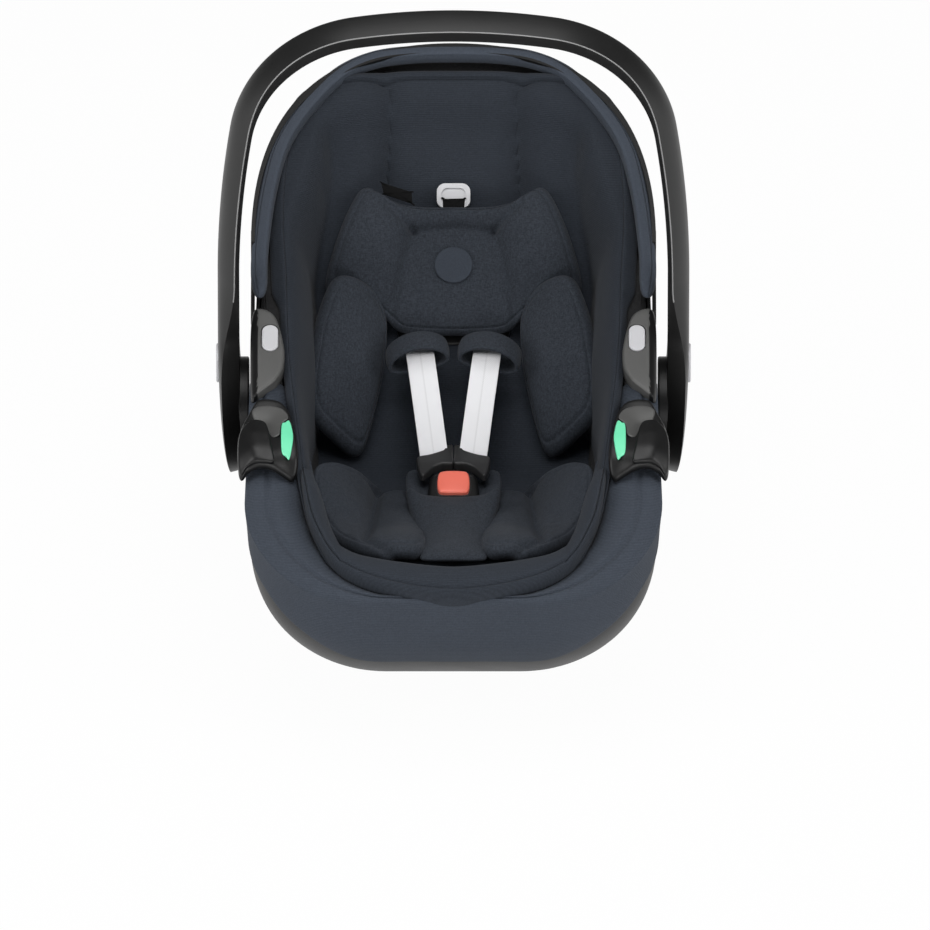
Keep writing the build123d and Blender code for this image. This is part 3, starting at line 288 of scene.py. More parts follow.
def sweep(path, section, up, caps=True, scale=None):
    """A closed section carried along a path.

    Its first axis lies square to the path and to up, its second near up.
    """
    path = np.asarray(path, float)
    heading = unit(np.gradient(path, axis=0))
    side = unit(np.cross(heading, np.broadcast_to(up, path.shape)))
    rise = np.cross(side, heading)
    section = np.asarray(section, float)
    shape = section[None] if scale is None else section[None] * np.asarray(scale, float)[:, None]
    grid = path[:, None] + shape[..., :1] * side[:, None] + shape[..., 1:] * rise[:, None]
    if caps:
        grid = np.concatenate([grid[:1] * 0 + path[0], grid, grid[:1] * 0 + path[-1]])
    return grid


def oval(half_wide, half_high, count=16, power=2.0):
    """Superellipse section of the given half sizes."""
    turn = full_turn(count)
    wide, high = (np.sign(wave) * np.abs(wave) ** (2 / power) for wave in (np.cos(turn), np.sin(turn)))
    return np.stack([half_wide * wide, half_high * high], 1)


def closed_ends(grid):
    """A grid with its first and last rows closed on their middles."""
    ends = [grid[:1] * 0 + row.mean(1, keepdims=True) for row in (grid[:1], grid[-1:])]
    return np.concatenate([ends[0], grid, ends[1]])


def pad_grid(
    place, outline, crown, thick, rows=26, turns=150, roundness=6.0, seams=(), heart=None, welt=None, floor=None
):
    """A stuffed pad: rows from its heart out to its edge on top and back underneath.

    The top follows the crown, a function or the thin-plate spline through points. The underside lies as deep
    below it as the pad is thick, but not below the floor. Both close on the middle height at the edge as the
    square root of 1 - rho^roundness. Each seam is a line, a depth and a width, and sinks the top by
    depth · exp(-(gap / width)²). A welt is a sunk line at a share of rho.
    """
    edge = spline(outline, turns, closed=True)
    heart = edge.mean(0) if heart is None else np.asarray(heart, float)
    rho = np.sin(np.linspace(0, 1, rows) * math.pi / 2)
    plan = heart + rho[:, None, None] * (edge - heart)
    top = crown(plan) if callable(crown) else thin_plate(crown, plan)
    low = top - thick if floor is None else np.maximum(floor, top - thick)
    swell = np.sqrt(1 - rho**roundness)[:, None] * (top - low) / 2
    upper = (top + low) / 2 + swell
    for line, depth, width in seams:
        gap = line_gap(plan, spline(line, 80))
        upper = upper - depth * np.exp(-((gap / width) ** 2)) * (1 - rho**20)[:, None]
    if welt:
        upper = upper - welt[1] * np.exp(-(((rho - welt[0]) / welt[2]) ** 2))[:, None]
    lower = (top + low) / 2 - swell
    whole = np.concatenate([plan, plan[-2::-1]])
    return place(whole[..., 0], whole[..., 1], np.concatenate([upper, lower[-2::-1]]))


def plate_grid(place, outline, low, high, edge=2.0, turns=120, heart=None, dish=0.0):
    """A moulded plate: up its wall, round a quarter-circle edge and over the top to its heart."""
    line = spline(outline, turns, closed=True)
    heart = line.mean(0) if heart is None else np.asarray(heart, float)
    inward = quarter_turn(round_heading(line))
    if ((heart - line) * inward).sum() < 0:
        inward = -inward
    turn = np.linspace(0, math.pi / 2, 6)
    inset = np.concatenate([[0.0], edge * (1 - np.cos(turn))])
    rise = np.concatenate([[low], high - edge + edge * np.sin(turn)])
    wall = line[None] + inset[:, None, None] * inward[None]
    share = np.linspace(0.88, 0, 9)[:, None, None]
    top = heart + share * (wall[-1] - heart)
    plan = np.concatenate([heart + 0 * wall[:1], wall, top])
    heights = np.concatenate([[low], rise, high - dish * (1 - share[:, 0, 0] ** 2)])
    return place(plan[..., 0], plan[..., 1], np.broadcast_to(heights[:, None], plan.shape[:2]))


def settle(piece):
    """Applies the piece's modifiers to its mesh."""
    shaped = piece.evaluated_get(bpy.context.evaluated_depsgraph_get())
    mesh = bpy.data.meshes.new_from_object(shaped)
    old = piece.data
    piece.modifiers.clear()
    piece.data = mesh
    bpy.data.meshes.remove(old)


def table(points, at):
    """Values read from a smooth curve through (place, value) points."""
    dense = catmull(points, np.linspace(0, len(points) - 1, 40 * len(points)))
    return np.interp(at, dense[:, 0], dense[:, 1])


def cut_out(piece, tool):
    """Takes the tool's shape out of the piece and removes the tool."""
    knife = piece.modifiers.new("cut", "BOOLEAN")
    knife.object = tool
    knife.operation = "DIFFERENCE"
    knife.solver = "FAST"
    settle(piece)
    bpy.data.objects.remove(tool)
    shade_smooth(piece.data, 35)


def slot_tool(place, mid, half_wide, half_long, low, high):
    """Prism with round ends, to cut a pocket for a button."""
    turn = full_turn(48)
    ends = (half_long - half_wide) * np.sign(np.sin(turn))
    plan = np.stack([mid[0] + half_wide * np.cos(turn), mid[1] + half_wide * np.sin(turn) + ends], 1)
    heart = np.array(mid) + 0 * plan
    rows = ((heart, low), (plan, low), (plan, high), (heart, high))
    return skin("pocket", np.stack([place(*row.T, height) for row, height in rows]), round_v=True)


def thicken(piece, thickness, offset=-1):
    """Gives a sheet its thickness, in metres."""
    wall = piece.modifiers.new("thickness", "SOLIDIFY")
    wall.thickness, wall.offset = thickness, offset


def egg_half(row, grow=0.0):
    """Right half of a hull section, from the foot's middle to the head's.

    It is a line, a corner arc, a side line and a Bezier curve round the head.
    """
    foot, head, half, corner = np.asarray(row) + grow * np.array((-1, 1, 1, 1))
    shoulder = (foot + corner + head) / 2
    brow = half - HEAD_NARROWING
    low = np.array((half - corner, foot))
    start = np.array((0, foot)) + np.linspace(0, 1, 12)[:, None] * np.array((half - corner, 0))
    turn = np.linspace(-math.pi / 2, 0, 28)[1:]
    bend = low + (0, corner) + corner * np.stack([np.cos(turn), np.sin(turn)], 1)
    rise = np.array((brow - half, shoulder - foot - corner))
    run = np.array((half, foot + corner)) + np.linspace(0, 1, 30)[1:, None] * rise
    f = np.linspace(0, 1, 44)[1:, None]
    a, b = np.array((brow, shoulder)), np.array((brow, shoulder + HEAD_FULLNESS * (head - shoulder)))
    c, d = np.array((HEAD_FULLNESS * brow, head)), np.array((0, head))
    crown = (1 - f) ** 3 * a + 3 * f * (1 - f) ** 2 * b + 3 * f**2 * (1 - f) * c + f**3 * d
    return np.concatenate([start, bend, run, crown])


def hull_grid(depths, grow):
    """Hull places at depths below the rim, section points by depth, smoothed between the given sections."""
    at = np.interp(depths, HULL[:, 0], np.arange(len(HULL)))
    stack = np.stack([egg_half(row[1:], grow) for row in HULL])
    return catmull(stack, at)


# Finishes


def node(tree, kind, values=None, **settings):
    """Adds a node, sets it up, and joins or sets its inputs."""
    made = tree.nodes.new(kind)
    for key, value in settings.items():
        setattr(made, key, value)
    for key, value in (values or {}).items():
        socket = made.inputs[key]
        if isinstance(value, bpy.types.NodeSocket):
            tree.links.new(value, socket)
        else:
            socket.default_value = value
    return made


def maths(tree, operation, *values):
    """Adds a sum of the given kind and returns its result."""
    return node(tree, "ShaderNodeMath", dict(enumerate(values)), operation=operation).outputs[0]


def noise(tree, place, scale, detail, roughness=0.5):
    """Adds a noise and returns its grey."""
    values = {"Vector": place, "Scale": scale, "Detail": detail, "Roughness": roughness}
    return node(tree, "ShaderNodeTexNoise", values).outputs["Fac"]


def stretched(tree, place, stretch):
    """Adds a stretch of the place along its axes."""
    return node(tree, "ShaderNodeVectorMath", {0: place, 1: stretch}, operation="MULTIPLY").outputs[0]


def remap(tree, value, start=(0.0, 1.0), end=(0.0, 1.0)):
    """Adds a change of range from start to end."""
    limits = dict(zip(("From Min", "From Max", "To Min", "To Max"), (*start, *end)))
    return node(tree, "ShaderNodeMapRange", {"Value": value, **limits}).outputs[0]


def group(name, inputs, outputs):
    """An empty node group with float or vector inputs and named outputs."""
    tree = bpy.data.node_groups.new(name, "ShaderNodeTree")
    for label, kind, default in inputs:
        socket = tree.interface.new_socket(label, in_out="INPUT", socket_type=kind)
        if default is not None:
            socket.default_value = default
    for label, kind in outputs:
        tree.interface.new_socket(label, in_out="OUTPUT", socket_type=kind)
    return tree, tree.nodes.new("NodeGroupInput").outputs, tree.nodes.new("NodeGroupOutput").inputs


FLOAT, VECTOR = "NodeSocketFloat", "NodeSocketVector"


def melange_group():
    """Yarn speckle: two noises drawn out along and across the yarn, and a thread-sized bump."""
    tree, given, result = group(
        "yarn_melange",
        [("Place", VECTOR, None), ("Pitch", FLOAT, 1100.0)],
        [("Speckle", FLOAT), ("Height", FLOAT)],
    )
    along, across = (
        noise(tree, stretched(tree, given["Place"], stretch), given["Pitch"], 2.0, 0.6)
        for stretch in ((1.0, 0.35, 0.35), (0.35, 1.0, 1.0))
    )
    mixed = maths(tree, "MULTIPLY", maths(tree, "ADD", along, across), 0.5)
    tree.links.new(remap(tree, mixed, start=(0.36, 0.64)), result["Speckle"])
    tree.links.new(mixed, result["Height"])
    return tree


def rib_group():
    """Fine ribs: a sine of the distance along a direction, wavering with a soft noise."""
    tree, given, result = group(
        "fine_ribs",
        [("Place", VECTOR, None), ("Direction", VECTOR, None), ("Pitch", FLOAT, 0.0026)],
        [("Height", FLOAT)],
    )
    way = {0: given["Place"], 1: given["Direction"]}
    run = node(tree, "ShaderNodeVectorMath", way, operation="DOT_PRODUCT").outputs["Value"]
    waver = maths(tree, "MULTIPLY", noise(tree, given["Place"], 60.0, 1.0), 0.5)
    turns = maths(tree, "ADD", maths(tree, "DIVIDE", run, given["Pitch"]), waver)
    wave = maths(tree, "SINE", maths(tree, "MULTIPLY", turns, 2 * math.pi))
    tree.links.new(maths(tree, "MULTIPLY_ADD", wave, 0.5, 0.5), result["Height"])
    return tree


def grain_group():
    """Moulded grain: fine noise for the bump and a broad one for handling marks in the gloss."""
    tree, given, result = group(
        "moulded_grain",
        [("Place", VECTOR, None), ("Pitch", FLOAT, 1400.0)],
        [("Height", FLOAT), ("Marks", FLOAT)],
    )
    tree.links.new(noise(tree, given["Place"], given["Pitch"], 2.0), result["Height"])
    tree.links.new(noise(tree, given["Place"], 22.0, 4.0, 0.6), result["Marks"])
    return tree


GROUPS = {}


def use_group(tree, maker, values):
    """Adds a node group, made the first time it is asked for, and returns its outputs."""
    if maker not in GROUPS:
        GROUPS[maker] = maker()
    return node(tree, "ShaderNodeGroup", values, node_tree=GROUPS[maker]).outputs


def bare_material(name):
    """A new material with its tree, its shader and the object's own coordinates."""
    made = bpy.data.materials.new(name)
    made.use_nodes = True
    tree = made.node_tree
    return made, tree, tree.nodes["Principled BSDF"], node(tree, "ShaderNodeTexCoord").outputs["Object"]


def shade(colour, factor):
    """The colour made lighter or darker."""
    return (colour[0] * factor, colour[1] * factor, colour[2] * factor, 1.0)


def tone(tree, shader, mask, colour, dark, light):
    """Colours a shader by a mask, from a dark to a light shade of the colour."""
    values = {0: mask, 6: shade(colour, dark), 7: shade(colour, light)}
    mixed = node(tree, "ShaderNodeMix", values, data_type="RGBA")
    tree.links.new(mixed.outputs[2], shader.inputs["Base Color"])


def roughen(tree, shader, mask, low, high):
    """Roughens a shader by a mask."""
    tree.links.new(remap(tree, mask, end=(low, high)), shader.inputs["Roughness"])


def raise_up(tree, shader, height, strength, distance, **settings):
    """Bumps a shader by a height."""
    values = {"Height": height, "Strength": strength, "Distance": distance}
    raised = node(tree, "ShaderNodeBump", values, **settings)
    tree.links.new(raised.outputs["Normal"], shader.inputs["Normal"])


def set_up(shader, **values):
    """Sets inputs of a shader, named with underscores for spaces."""
    for key, value in values.items():
        shader.inputs[key.replace("_", " ")].default_value = value


def cloth_material(name, colour, speckle=0.35, rib=None, pitch=1100.0, bump=0.25):
    """Knitted or woven cloth: speckled yarn, optional ribs along a direction, a soft sheen."""
    made, tree, shader, place = bare_material(name)
    yarn = use_group(tree, melange_group, {"Place": place, "Pitch": pitch})
    broad = maths(tree, "MULTIPLY", noise(tree, place, 14.0, 3.0), 0.3)
    mask = maths(tree, "ADD", maths(tree, "MULTIPLY", yarn["Speckle"], 0.8), broad)
    height = yarn["Height"]
    if rib is not None:
        way = {"Place": place, "Direction": tuple(rib[0]), "Pitch": rib[1]}
        ribs = use_group(tree, rib_group, way)["Height"]
        mask = maths(tree, "ADD", maths(tree, "MULTIPLY", mask, 0.7), maths(tree, "MULTIPLY", ribs, 0.22))
        height = maths(tree, "ADD", maths(tree, "MULTIPLY", height, 0.6), ribs)
    tone(tree, shader, mask, colour, 1 - speckle, 1 + speckle)
    roughen(tree, shader, yarn["Speckle"], 0.86, 0.98)
    raise_up(tree, shader, height, bump, 0.0006)
    set_up(shader, Sheen_Weight=0.05, Sheen_Roughness=0.5, Specular_IOR_Level=0.12)
    return made


def plastic_material(name, colour, gloss=0.42, grain=0.12, vary=0.12, pitch=1400.0, coat=0.0, shine=0.35):
    """Moulded plastic: fine grain, handling marks in the gloss, slight change of tone."""
    made, tree, shader, place = bare_material(name)
    grains = use_group(tree, grain_group, {"Place": place, "Pitch": pitch})
    tone(tree, shader, grains["Marks"], colour, 1 - vary, 1 + vary)
    roughen(tree, shader, grains["Marks"], gloss - 0.07, gloss + 0.07)
    raise_up(tree, shader, grains["Height"], grain, 0.0003)
    set_up(shader, Coat_Weight=coat, Specular_IOR_Level=shine)
    return made


def webbing_material(name, colour):
    """Woven belt: herringbone from two slanted waves over its own length and width, with a line along its middle."""
    made, tree, shader, _ = bare_material(name)
    split = node(tree, "ShaderNodeSeparateXYZ", {0: node(tree, "ShaderNodeUVMap", uv_map="UVMap").outputs[0]}).outputs
    across = maths(tree, "ABSOLUTE", split["X"])
    slant = maths(tree, "ADD", maths(tree, "MULTIPLY", across, 2600.0), maths(tree, "MULTIPLY", split["Y"], 3600.0))
    weave = maths(tree, "MULTIPLY_ADD", maths(tree, "SINE", slant), 0.5, 0.5)
    warp = maths(tree, "SINE", maths(tree, "MULTIPLY", split["X"], 5200.0))
    height = maths(tree, "ADD", weave, maths(tree, "MULTIPLY", warp, 0.3))
    middle = remap(tree, across, start=(0.0003, 0.0011))
    mask = maths(tree, "MULTIPLY", maths(tree, "MULTIPLY_ADD", weave, 0.35, 0.65), middle)
    tone(tree, shader, mask, colour, 0.88, 1)
    roughen(tree, shader, weave, 0.6, 0.75)
    raise_up(tree, shader, height, 0.2, 0.0004)
    return made


def steel_material(name, colour):
    """Drawn steel: streaks along the bar and a little tarnish in the gloss."""
    made, tree, shader, place = bare_material(name)
    streak = noise(tree, stretched(tree, place, (20.0, 900.0, 900.0)), 1.0, 3.0)
    tone(tree, shader, streak, colour, 0.85, 1.1)
    roughen(tree, shader, streak, 0.22, 0.38)
    set_up(shader, Metallic=1.0)
    return made


def foam_material(name, colour):
    """Bead foam: small cells with darker joints."""
    made, tree, shader, place = bare_material(name)
    cells = node(tree, "ShaderNodeTexVoronoi", {"Vector": place, "Scale": 280.0}).outputs["Distance"]
    joint = remap(tree, cells, start=(0.0, 0.7))
    tone(tree, shader, joint, colour, 1.1, 0.7)
    raise_up(tree, shader, joint, 0.4, 0.001, invert=True)
    set_up(shader, Roughness=0.85)
    return made


# Cloth simulation: voxel and distances in metres, width of a held seam in millimetres
VOXEL, NEAR_EASE, SEWN_WIDTH = 0.005, 0.0005, 5.0
PRESSURE, FRAMES, NEAR_COUNT, UNDERSIDE = 4.0, 20, 4, -0.2

FINISH = {}


def finish(name):
    """The named finish in the colours of the panel, made the first time it is asked for."""
    if name in FINISH:
        return FINISH[name]
    colours = bpy.context.scene.car_seat_colours
    rib = bpy.context.scene.car_seat_sizes.rib_pitch
    slate, black, handle = colours.cover, colours.black, colours.handle
    makers = {
        "ribbed_cover": lambda: cloth_material(name, shade(slate, 0.92), 0.3, (BACK_ALONG, rib)),
        "ring_cover": lambda: cloth_material(name, shade(slate, 1.05), 0.3, (RIM_ALONG, rib)),
        # The skirt is the cover's slate cloth made 1.75 times lighter: painted light, a lit copy of the same cloth
        "skirt_cloth_painted_light": lambda: cloth_material(name, shade(slate, 1.75), 0.28, (SEAT_UP, rib)),
        "pad_cloth": lambda: cloth_material(name, colours.pads, 0.42, None, 900.0, 0.35),
        # The canopy hem is the cover's slate cloth made 1.95 times lighter: painted light, a lit copy of the same
        # cloth; the pleats keep the plain slate
        "canopy_cloth": lambda: cloth_material(name, shade(slate, 1.95), 0.2, (RIM_UP, rib * 0.7)),
        "pleat_cloth": lambda: cloth_material(name, slate, 0.25, (RIM_UP, rib * 0.7)),
        "badge": lambda: cloth_material(name, shade(slate, 1.5), 0.15, None, 1500.0),
        "tag_cloth": lambda: cloth_material(name, shade(black, 0.8), 0.3, None, 1600.0),
        "handle_plastic": lambda: plastic_material(name, handle, 0.44, 0.1, shine=0.5),
        "trim_plastic": lambda: plastic_material(name, colours.trim, 0.34, 0.08),
        "black_plastic": lambda: plastic_material(name, black, 0.4, 0.1),
        # A light copy of the handle's plastic for the bead along the ridge: a painted highlight
        "painted_highlight_plastic": lambda: plastic_material(name, shade(handle, 45.0), 0.3, 0.05),
        "bezel_plastic": lambda: plastic_material(name, shade(black, 4.5), 0.36, 0.1),
        "shell_plastic": lambda: plastic_material(name, colours.shell, 0.5, 0.3, 0.1, 900.0),
        "button_grey": lambda: plastic_material(name, colours.buttons, 0.35, 0.06, 0.05),
        "marker_green": lambda: plastic_material(name, colours.marker, 0.3, 0.05, 0.08, 1400.0, 0.2),
        "buckle_red": lambda: plastic_material(name, colours.release, 0.32, 0.05, 0.06, 1400.0, 0.2),
        "light_webbing": lambda: webbing_material(name, colours.webbing),
        "dark_weave": lambda: cloth_material(name, shade(black, 1.2), 0.3, ((1, 0, 0), 0.0012)),
        "steel": lambda: steel_material(name, colours.steel),
        "foam": lambda: foam_material(name, colours.foam),
        "bush_plastic": lambda: plastic_material(name, colours.bush, 0.45, 0.08),
    }
    FINISH[name] = makers[name]()
    return FINISH[name]


def dress(piece, look, body=None, nodes=()):
    """Gives a piece its finish and the body it rides on, and hides the nodes it stands for."""
    piece.data.materials.clear()
    piece.data.materials.append(finish(look))
    if body:
        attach(piece, body)
    if nodes:
        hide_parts(*nodes)


def make(name, grid, sharp, look, body, nodes=()):
    """Makes a piece of a grid that comes round, and dresses it."""
    dress(skin(name, grid, round_v=True, sharp=sharp), look, body, nodes)


def places_of(mesh):
    """Places of a mesh's vertices."""
    flat = np.empty(len(mesh.vertices) * 3, np.float32)
    mesh.vertices.foreach_get("co", flat)
    return flat.reshape(-1, 3).astype(float)


def carry(piece, points, moves):
    """Moves each vertex by the mean of the moves of its nearest points, weighted by one over the distance."""
    tree = KDTree(len(points))
    for at, point in enumerate(points):
        tree.insert(point, at)
    tree.balance()
    mesh = piece.data
    place = places_of(mesh)
    for at, spot in enumerate(place.copy()):
        near = tree.find_n(spot, NEAR_COUNT)
        weight = np.array([1 / (found[2] + NEAR_EASE) for found in near])
        place[at] += (moves[[found[1] for found in near]] * weight[:, None]).sum(0) / weight.sum()
    mesh.vertices.foreach_set("co", place.astype(np.float32).ravel())
    mesh.update()


def plump(piece, up, cap, sewn=None):
    """Blows a pad up as cloth: a remeshed copy, held along its underside and where it is sewn, takes pressure.

    The copy's moves, no longer than the cap, are carried to the pad's own mesh, and returned with their points.
    """
    scene = bpy.context.scene
    copy = bpy.data.objects.new("plump_copy", piece.data.copy())
    bpy.context.collection.objects.link(copy)
    remesh = copy.modifiers.new("voxels", "REMESH")
    remesh.mode, remesh.voxel_size = "VOXEL", VOXEL
    bpy.context.view_layer.update()
    settle(copy)
    start = places_of(copy.data)
    normals = np.array([vertex.normal[:] for vertex in copy.data.vertices])
    held = normals @ np.asarray(up, float) < UNDERSIDE
    if sewn is not None:
        held |= sewn(start / MM) < SEWN_WIDTH
    copy.vertex_groups.new(name="held").add([int(at) for at in np.nonzero(held)[0]], 1.0, "REPLACE")
    cloth = copy.modifiers.new("cloth", "CLOTH")
    cloth.settings.vertex_group_mass = "held"
    cloth.settings.use_pressure = True
    cloth.settings.uniform_pressure_force = PRESSURE
    cloth.settings.effector_weights.gravity = 0.0
    cloth.point_cache.frame_start, cloth.point_cache.frame_end = 1, FRAMES
    for step in range(1, FRAMES + 1):
        scene.frame_set(step)
    moves = places_of(copy.evaluated_get(bpy.context.evaluated_depsgraph_get()).data) - start
    length = np.linalg.norm(moves, axis=1, keepdims=True)
    if not np.isfinite(length).all():
        raise RuntimeError(f"the cloth of {piece.name} did not settle")
    moves *= np.minimum(1.0, cap / np.maximum(length, TINY))
    bpy.data.objects.remove(copy)
    scene.frame_set(1)
    carry(piece, start, moves)
    return start, moves


def make_cushions(name, grid, node_name, up, cap, sewn=None):
    """A pair of pads blown up as cloth, of which the left one takes the mirrored moves of the right one."""
    pads = {side: skin(f"{name}_{side}", shape, round_v=True, sharp=70) for side, shape in sides_of(grid)}
    blown = plump(pads["right"], up, cap, sewn)
    if blown is not None:
        carry(pads["left"], *(mirrored(rows) for rows in blown))
    for side, pad in pads.items():
        dress(pad, "pad_cloth", "seat", (f"{node_name}_{side}",))


def aim_at(holder, place, aim):
    """Puts a lamp or camera at a place and turns it to look at another."""
    gap = np.asarray(aim, float) - np.asarray(place, float)
    holder.location = place
    tilt, turn = math.acos(-gap[2] / np.linalg.norm(gap)), math.atan2(gap[1], gap[0]) - math.pi / 2
    holder.rotation_euler = (tilt, 0, turn)


def tint(name, description, *colour):
    """A colour of the panel."""
    return FloatVectorProperty(
        name=name, description=description, subtype="COLOR", size=3, min=0, max=1, default=colour
    )


def length(name, description, default, low, high):
    """A length of the panel, in metres."""
    return FloatProperty(
        name=name, description=description, default=default, min=low, max=high, unit="LENGTH"
    )


class CarSeatColours(bpy.types.PropertyGroup):
    """Colours of the cloth, plastic and webbing"""

    cover: tint("Cover", "Ribbed cover cloth", 0.027, 0.032, 0.041)
    pads: tint("Pads", "Speckled pad cloth", 0.030, 0.035, 0.044)
    handle: tint("Handle", "Satin handle plastic", 0.006, 0.006, 0.006)
    trim: tint("Trim", "Satin grey side trims", 0.085, 0.085, 0.083)
    black: tint("Black", "Black plastic parts", 0.006, 0.006, 0.0062)
    shell: tint("Shell", "Grained shell plastic", 0.007, 0.007, 0.0075)
    buttons: tint("Buttons", "Light grey buttons and ring", 0.56, 0.56, 0.58)
    marker: tint("Markers", "Green belt markers", 0.17, 0.78, 0.45)
    release: tint("Release", "Buckle button", 0.95, 0.20, 0.14)
    webbing: tint("Webbing", "Light shoulder webbing", 0.86, 0.86, 0.88)
    steel: tint("Steel", "Lock bars and screws", 0.50, 0.50, 0.49)
    foam: tint("Foam", "Liner behind the cover", 0.012, 0.012, 0.013)
    bush: tint("Bushes", "Handle bushes", 0.35, 0.34, 0.32)


class CarSeatSizes(bpy.types.PropertyGroup):
    """Sizes of the sewn details, in metres"""

    rib_pitch: length("Rib pitch", "Distance between the cover's ribs", 0.0019, 0.001, 0.01)
    roll_height: length("Roll height", "Height of the cover's roll over the rim", 0.012, 0.004, 0.02)
    wing_puff: length("Wing puff", "How far the side wings swell", 0.015, 0.0, 0.024)
    seam_depth: length("Seam depth", "Depth of sewn seams", 0.004, 0.0, 0.008)
    ring_crown: length("Foot ring crown", "Height of the padded ring at the foot", 0.022, 0.004, 0.03)
    floor_size: length("Floor size", "Side of the pale floor", 16.0, 4.0, 40.0)


class SeatStep(bpy.types.Operator):
    """Base of the steps that dress the car seat"""

    bl_options = {"REGISTER", "UNDO"}

    def execute(self, context):
        self.build(context.scene.car_seat_sizes, context)
        return {"FINISHED"}


# Lamps: name, place, aim, size in metres, power in watts
LAMPS = (
    ("soft_top", (0.0, -0.2, 2.2), (0, 0.05, 0.3), (1.6, 1.6), 28.0),
    ("soft_left", (-2.0, -1.0, 1.1), (0, 0, 0.25), (1.0, 1.4), 21.0),
    ("soft_right", (2.0, -1.0, 1.1), (0, 0, 0.25), (1.0, 1.4), 21.0),
    ("soft_front", (0.0, -2.6, 0.45), (0, 0, 0.2), (1.8, 0.8), 21.0),
)
SKY_STRENGTH = 0.12
CAMERA_DISTANCE, CAMERA_RISE, CAMERA_AIM = 30.0, math.radians(30), np.array((0.0106, 0.0, 0.121))
SENSOR, VIEW_WIDTH = 36.0, 0.860


class CARSEAT_OT_stage(SeatStep):
    """Pale floor, soft lights and the camera"""

    bl_idname = "carseat.stage"
    bl_label = "Stage"

    def build(self, sizes, context):
        scene = context.scene
        scene.view_settings.view_transform = "Standard"
        half = sizes.floor_size / 2 / MM
        side = np.linspace(-half, half, 3)
        x, y = np.meshgrid(side, side, indexing="ij")
        floor = skin("stage_floor", np.stack([x, y, 0 * x - 0.5], -1), facing=(0, 0, 1))
        made, tree, shader, _ = bare_material("pale_floor")
        set_up(shader, Base_Color=(0.85, 0.85, 0.85, 1), Roughness=0.9)
        path = node(tree, "ShaderNodeLightPath").outputs
        bent = maths(tree, "ADD", path["Is Glossy Ray"], path["Is Transmission Ray"])
        seen = maths(tree, "ADD", path["Is Camera Ray"], bent)
        seen = maths(tree, "MULTIPLY", maths(tree, "MINIMUM", seen, 1.0), 0.97)
        glow = node(tree, "ShaderNodeEmission", {"Color": (1, 1, 1, 1), "Strength": 1.0})
        mixed = node(tree, "ShaderNodeMixShader", {0: seen, 1: shader.outputs[0], 2: glow.outputs[0]})
        tree.links.new(mixed.outputs[0], tree.nodes["Material Output"].inputs["Surface"])
        floor.data.materials.append(made)

        world = bpy.data.worlds.new("studio")
        world.use_nodes = True
        scene.world = world
        set_up(world.node_tree.nodes["Background"], Color=(1, 1, 1, 1), Strength=SKY_STRENGTH)
        for name, place, aim, size, power in LAMPS:
            lamp = bpy.data.lights.new(name, "AREA")
            lamp.shape = "RECTANGLE"
            lamp.size, lamp.size_y = size
            lamp.energy = power
            holder = bpy.data.objects.new(name, lamp)
            context.collection.objects.link(holder)
            aim_at(holder, place, aim)
        lens = bpy.data.cameras.new("photo_camera")
        lens.sensor_width = SENSOR
        lens.lens = SENSOR * CAMERA_DISTANCE / VIEW_WIDTH
        lens.clip_end = 100.0
        camera = bpy.data.objects.new("photo_camera", lens)
        context.collection.objects.link(camera)
        away = np.array((0, -math.cos(CAMERA_RISE), math.sin(CAMERA_RISE)))
        aim_at(camera, CAMERA_AIM + CAMERA_DISTANCE * away, CAMERA_AIM)
        scene.camera = camera


# Finishes of the CAD nodes, by the first of these words in their names
LOOKS = (
    ("screw", "steel"), ("lock_bar", "steel"), ("spring", "steel"), ("axle", "steel"), ("anchor", "steel"),
    ("yoke", "steel"), ("bearing", "bush_plastic"), ("liner", "foam"), ("marker", "marker_green"),
    ("buckle_button", "buckle_red"), ("release_button", "button_grey"), ("handle_button", "button_grey"),
    ("headrest_ring", "button_grey"), ("strap", "dark_weave"), ("tape", "dark_weave"),
    ("handle", "handle_plastic"), ("trim", "trim_plastic"), ("shell", "shell_plastic"),
    ("belly", "shell_plastic"), ("cloth", "canopy_cloth"), ("cover", "ribbed_cover"), ("skirt", "skirt_cloth_painted_light"),
    ("pad", "pad_cloth"), ("bolster", "pad_cloth"), ("pillow_disc", "badge"), ("pillow", "pad_cloth"),
)


class CARSEAT_OT_frame(SeatStep):
    """Finishes on the CAD pieces that stay in sight"""

    bl_idname = "carseat.frame"
    bl_label = "Frame finishes"

    def build(self, sizes, context):
        for name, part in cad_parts.items():
            part.data.materials.clear()
            part.data.materials.append(finish(next((look for word, look in LOOKS if word in name), "black_plastic")))


MOUTH = (
    (0, 287), (60, 286), (102, 280), (132.7, 263), (148, 223), (155, 175), (157, 115), (154.5, 59), (151.5, -37),
    (146, -100), (139.5, -163), (134, -200), (126, -240), (108, -285), (80, -300), (40, -306), (0, -307),
)
BACK_SEAM = ((73, 300), (67, 290), (60.5, 279), (58.7, 258), (61.5, 207), (64, 157), (66, 60))
# Bottom of the seat below the rim and the slopes of the back and the seat from it, in the rim's plane
CREASE_T, CREASE_W, BACK_SLOPE, SEAT_SLOPE = -75, -148, 0.3986, -0.6688
# Lining: columns round the mouth, rows down from its edge, depth of the side walls, width of the wings
LINING_ROUND, LINING_DOWN, WALL_DEPTH, WING_WIDTH = 320, 112, 156, 58


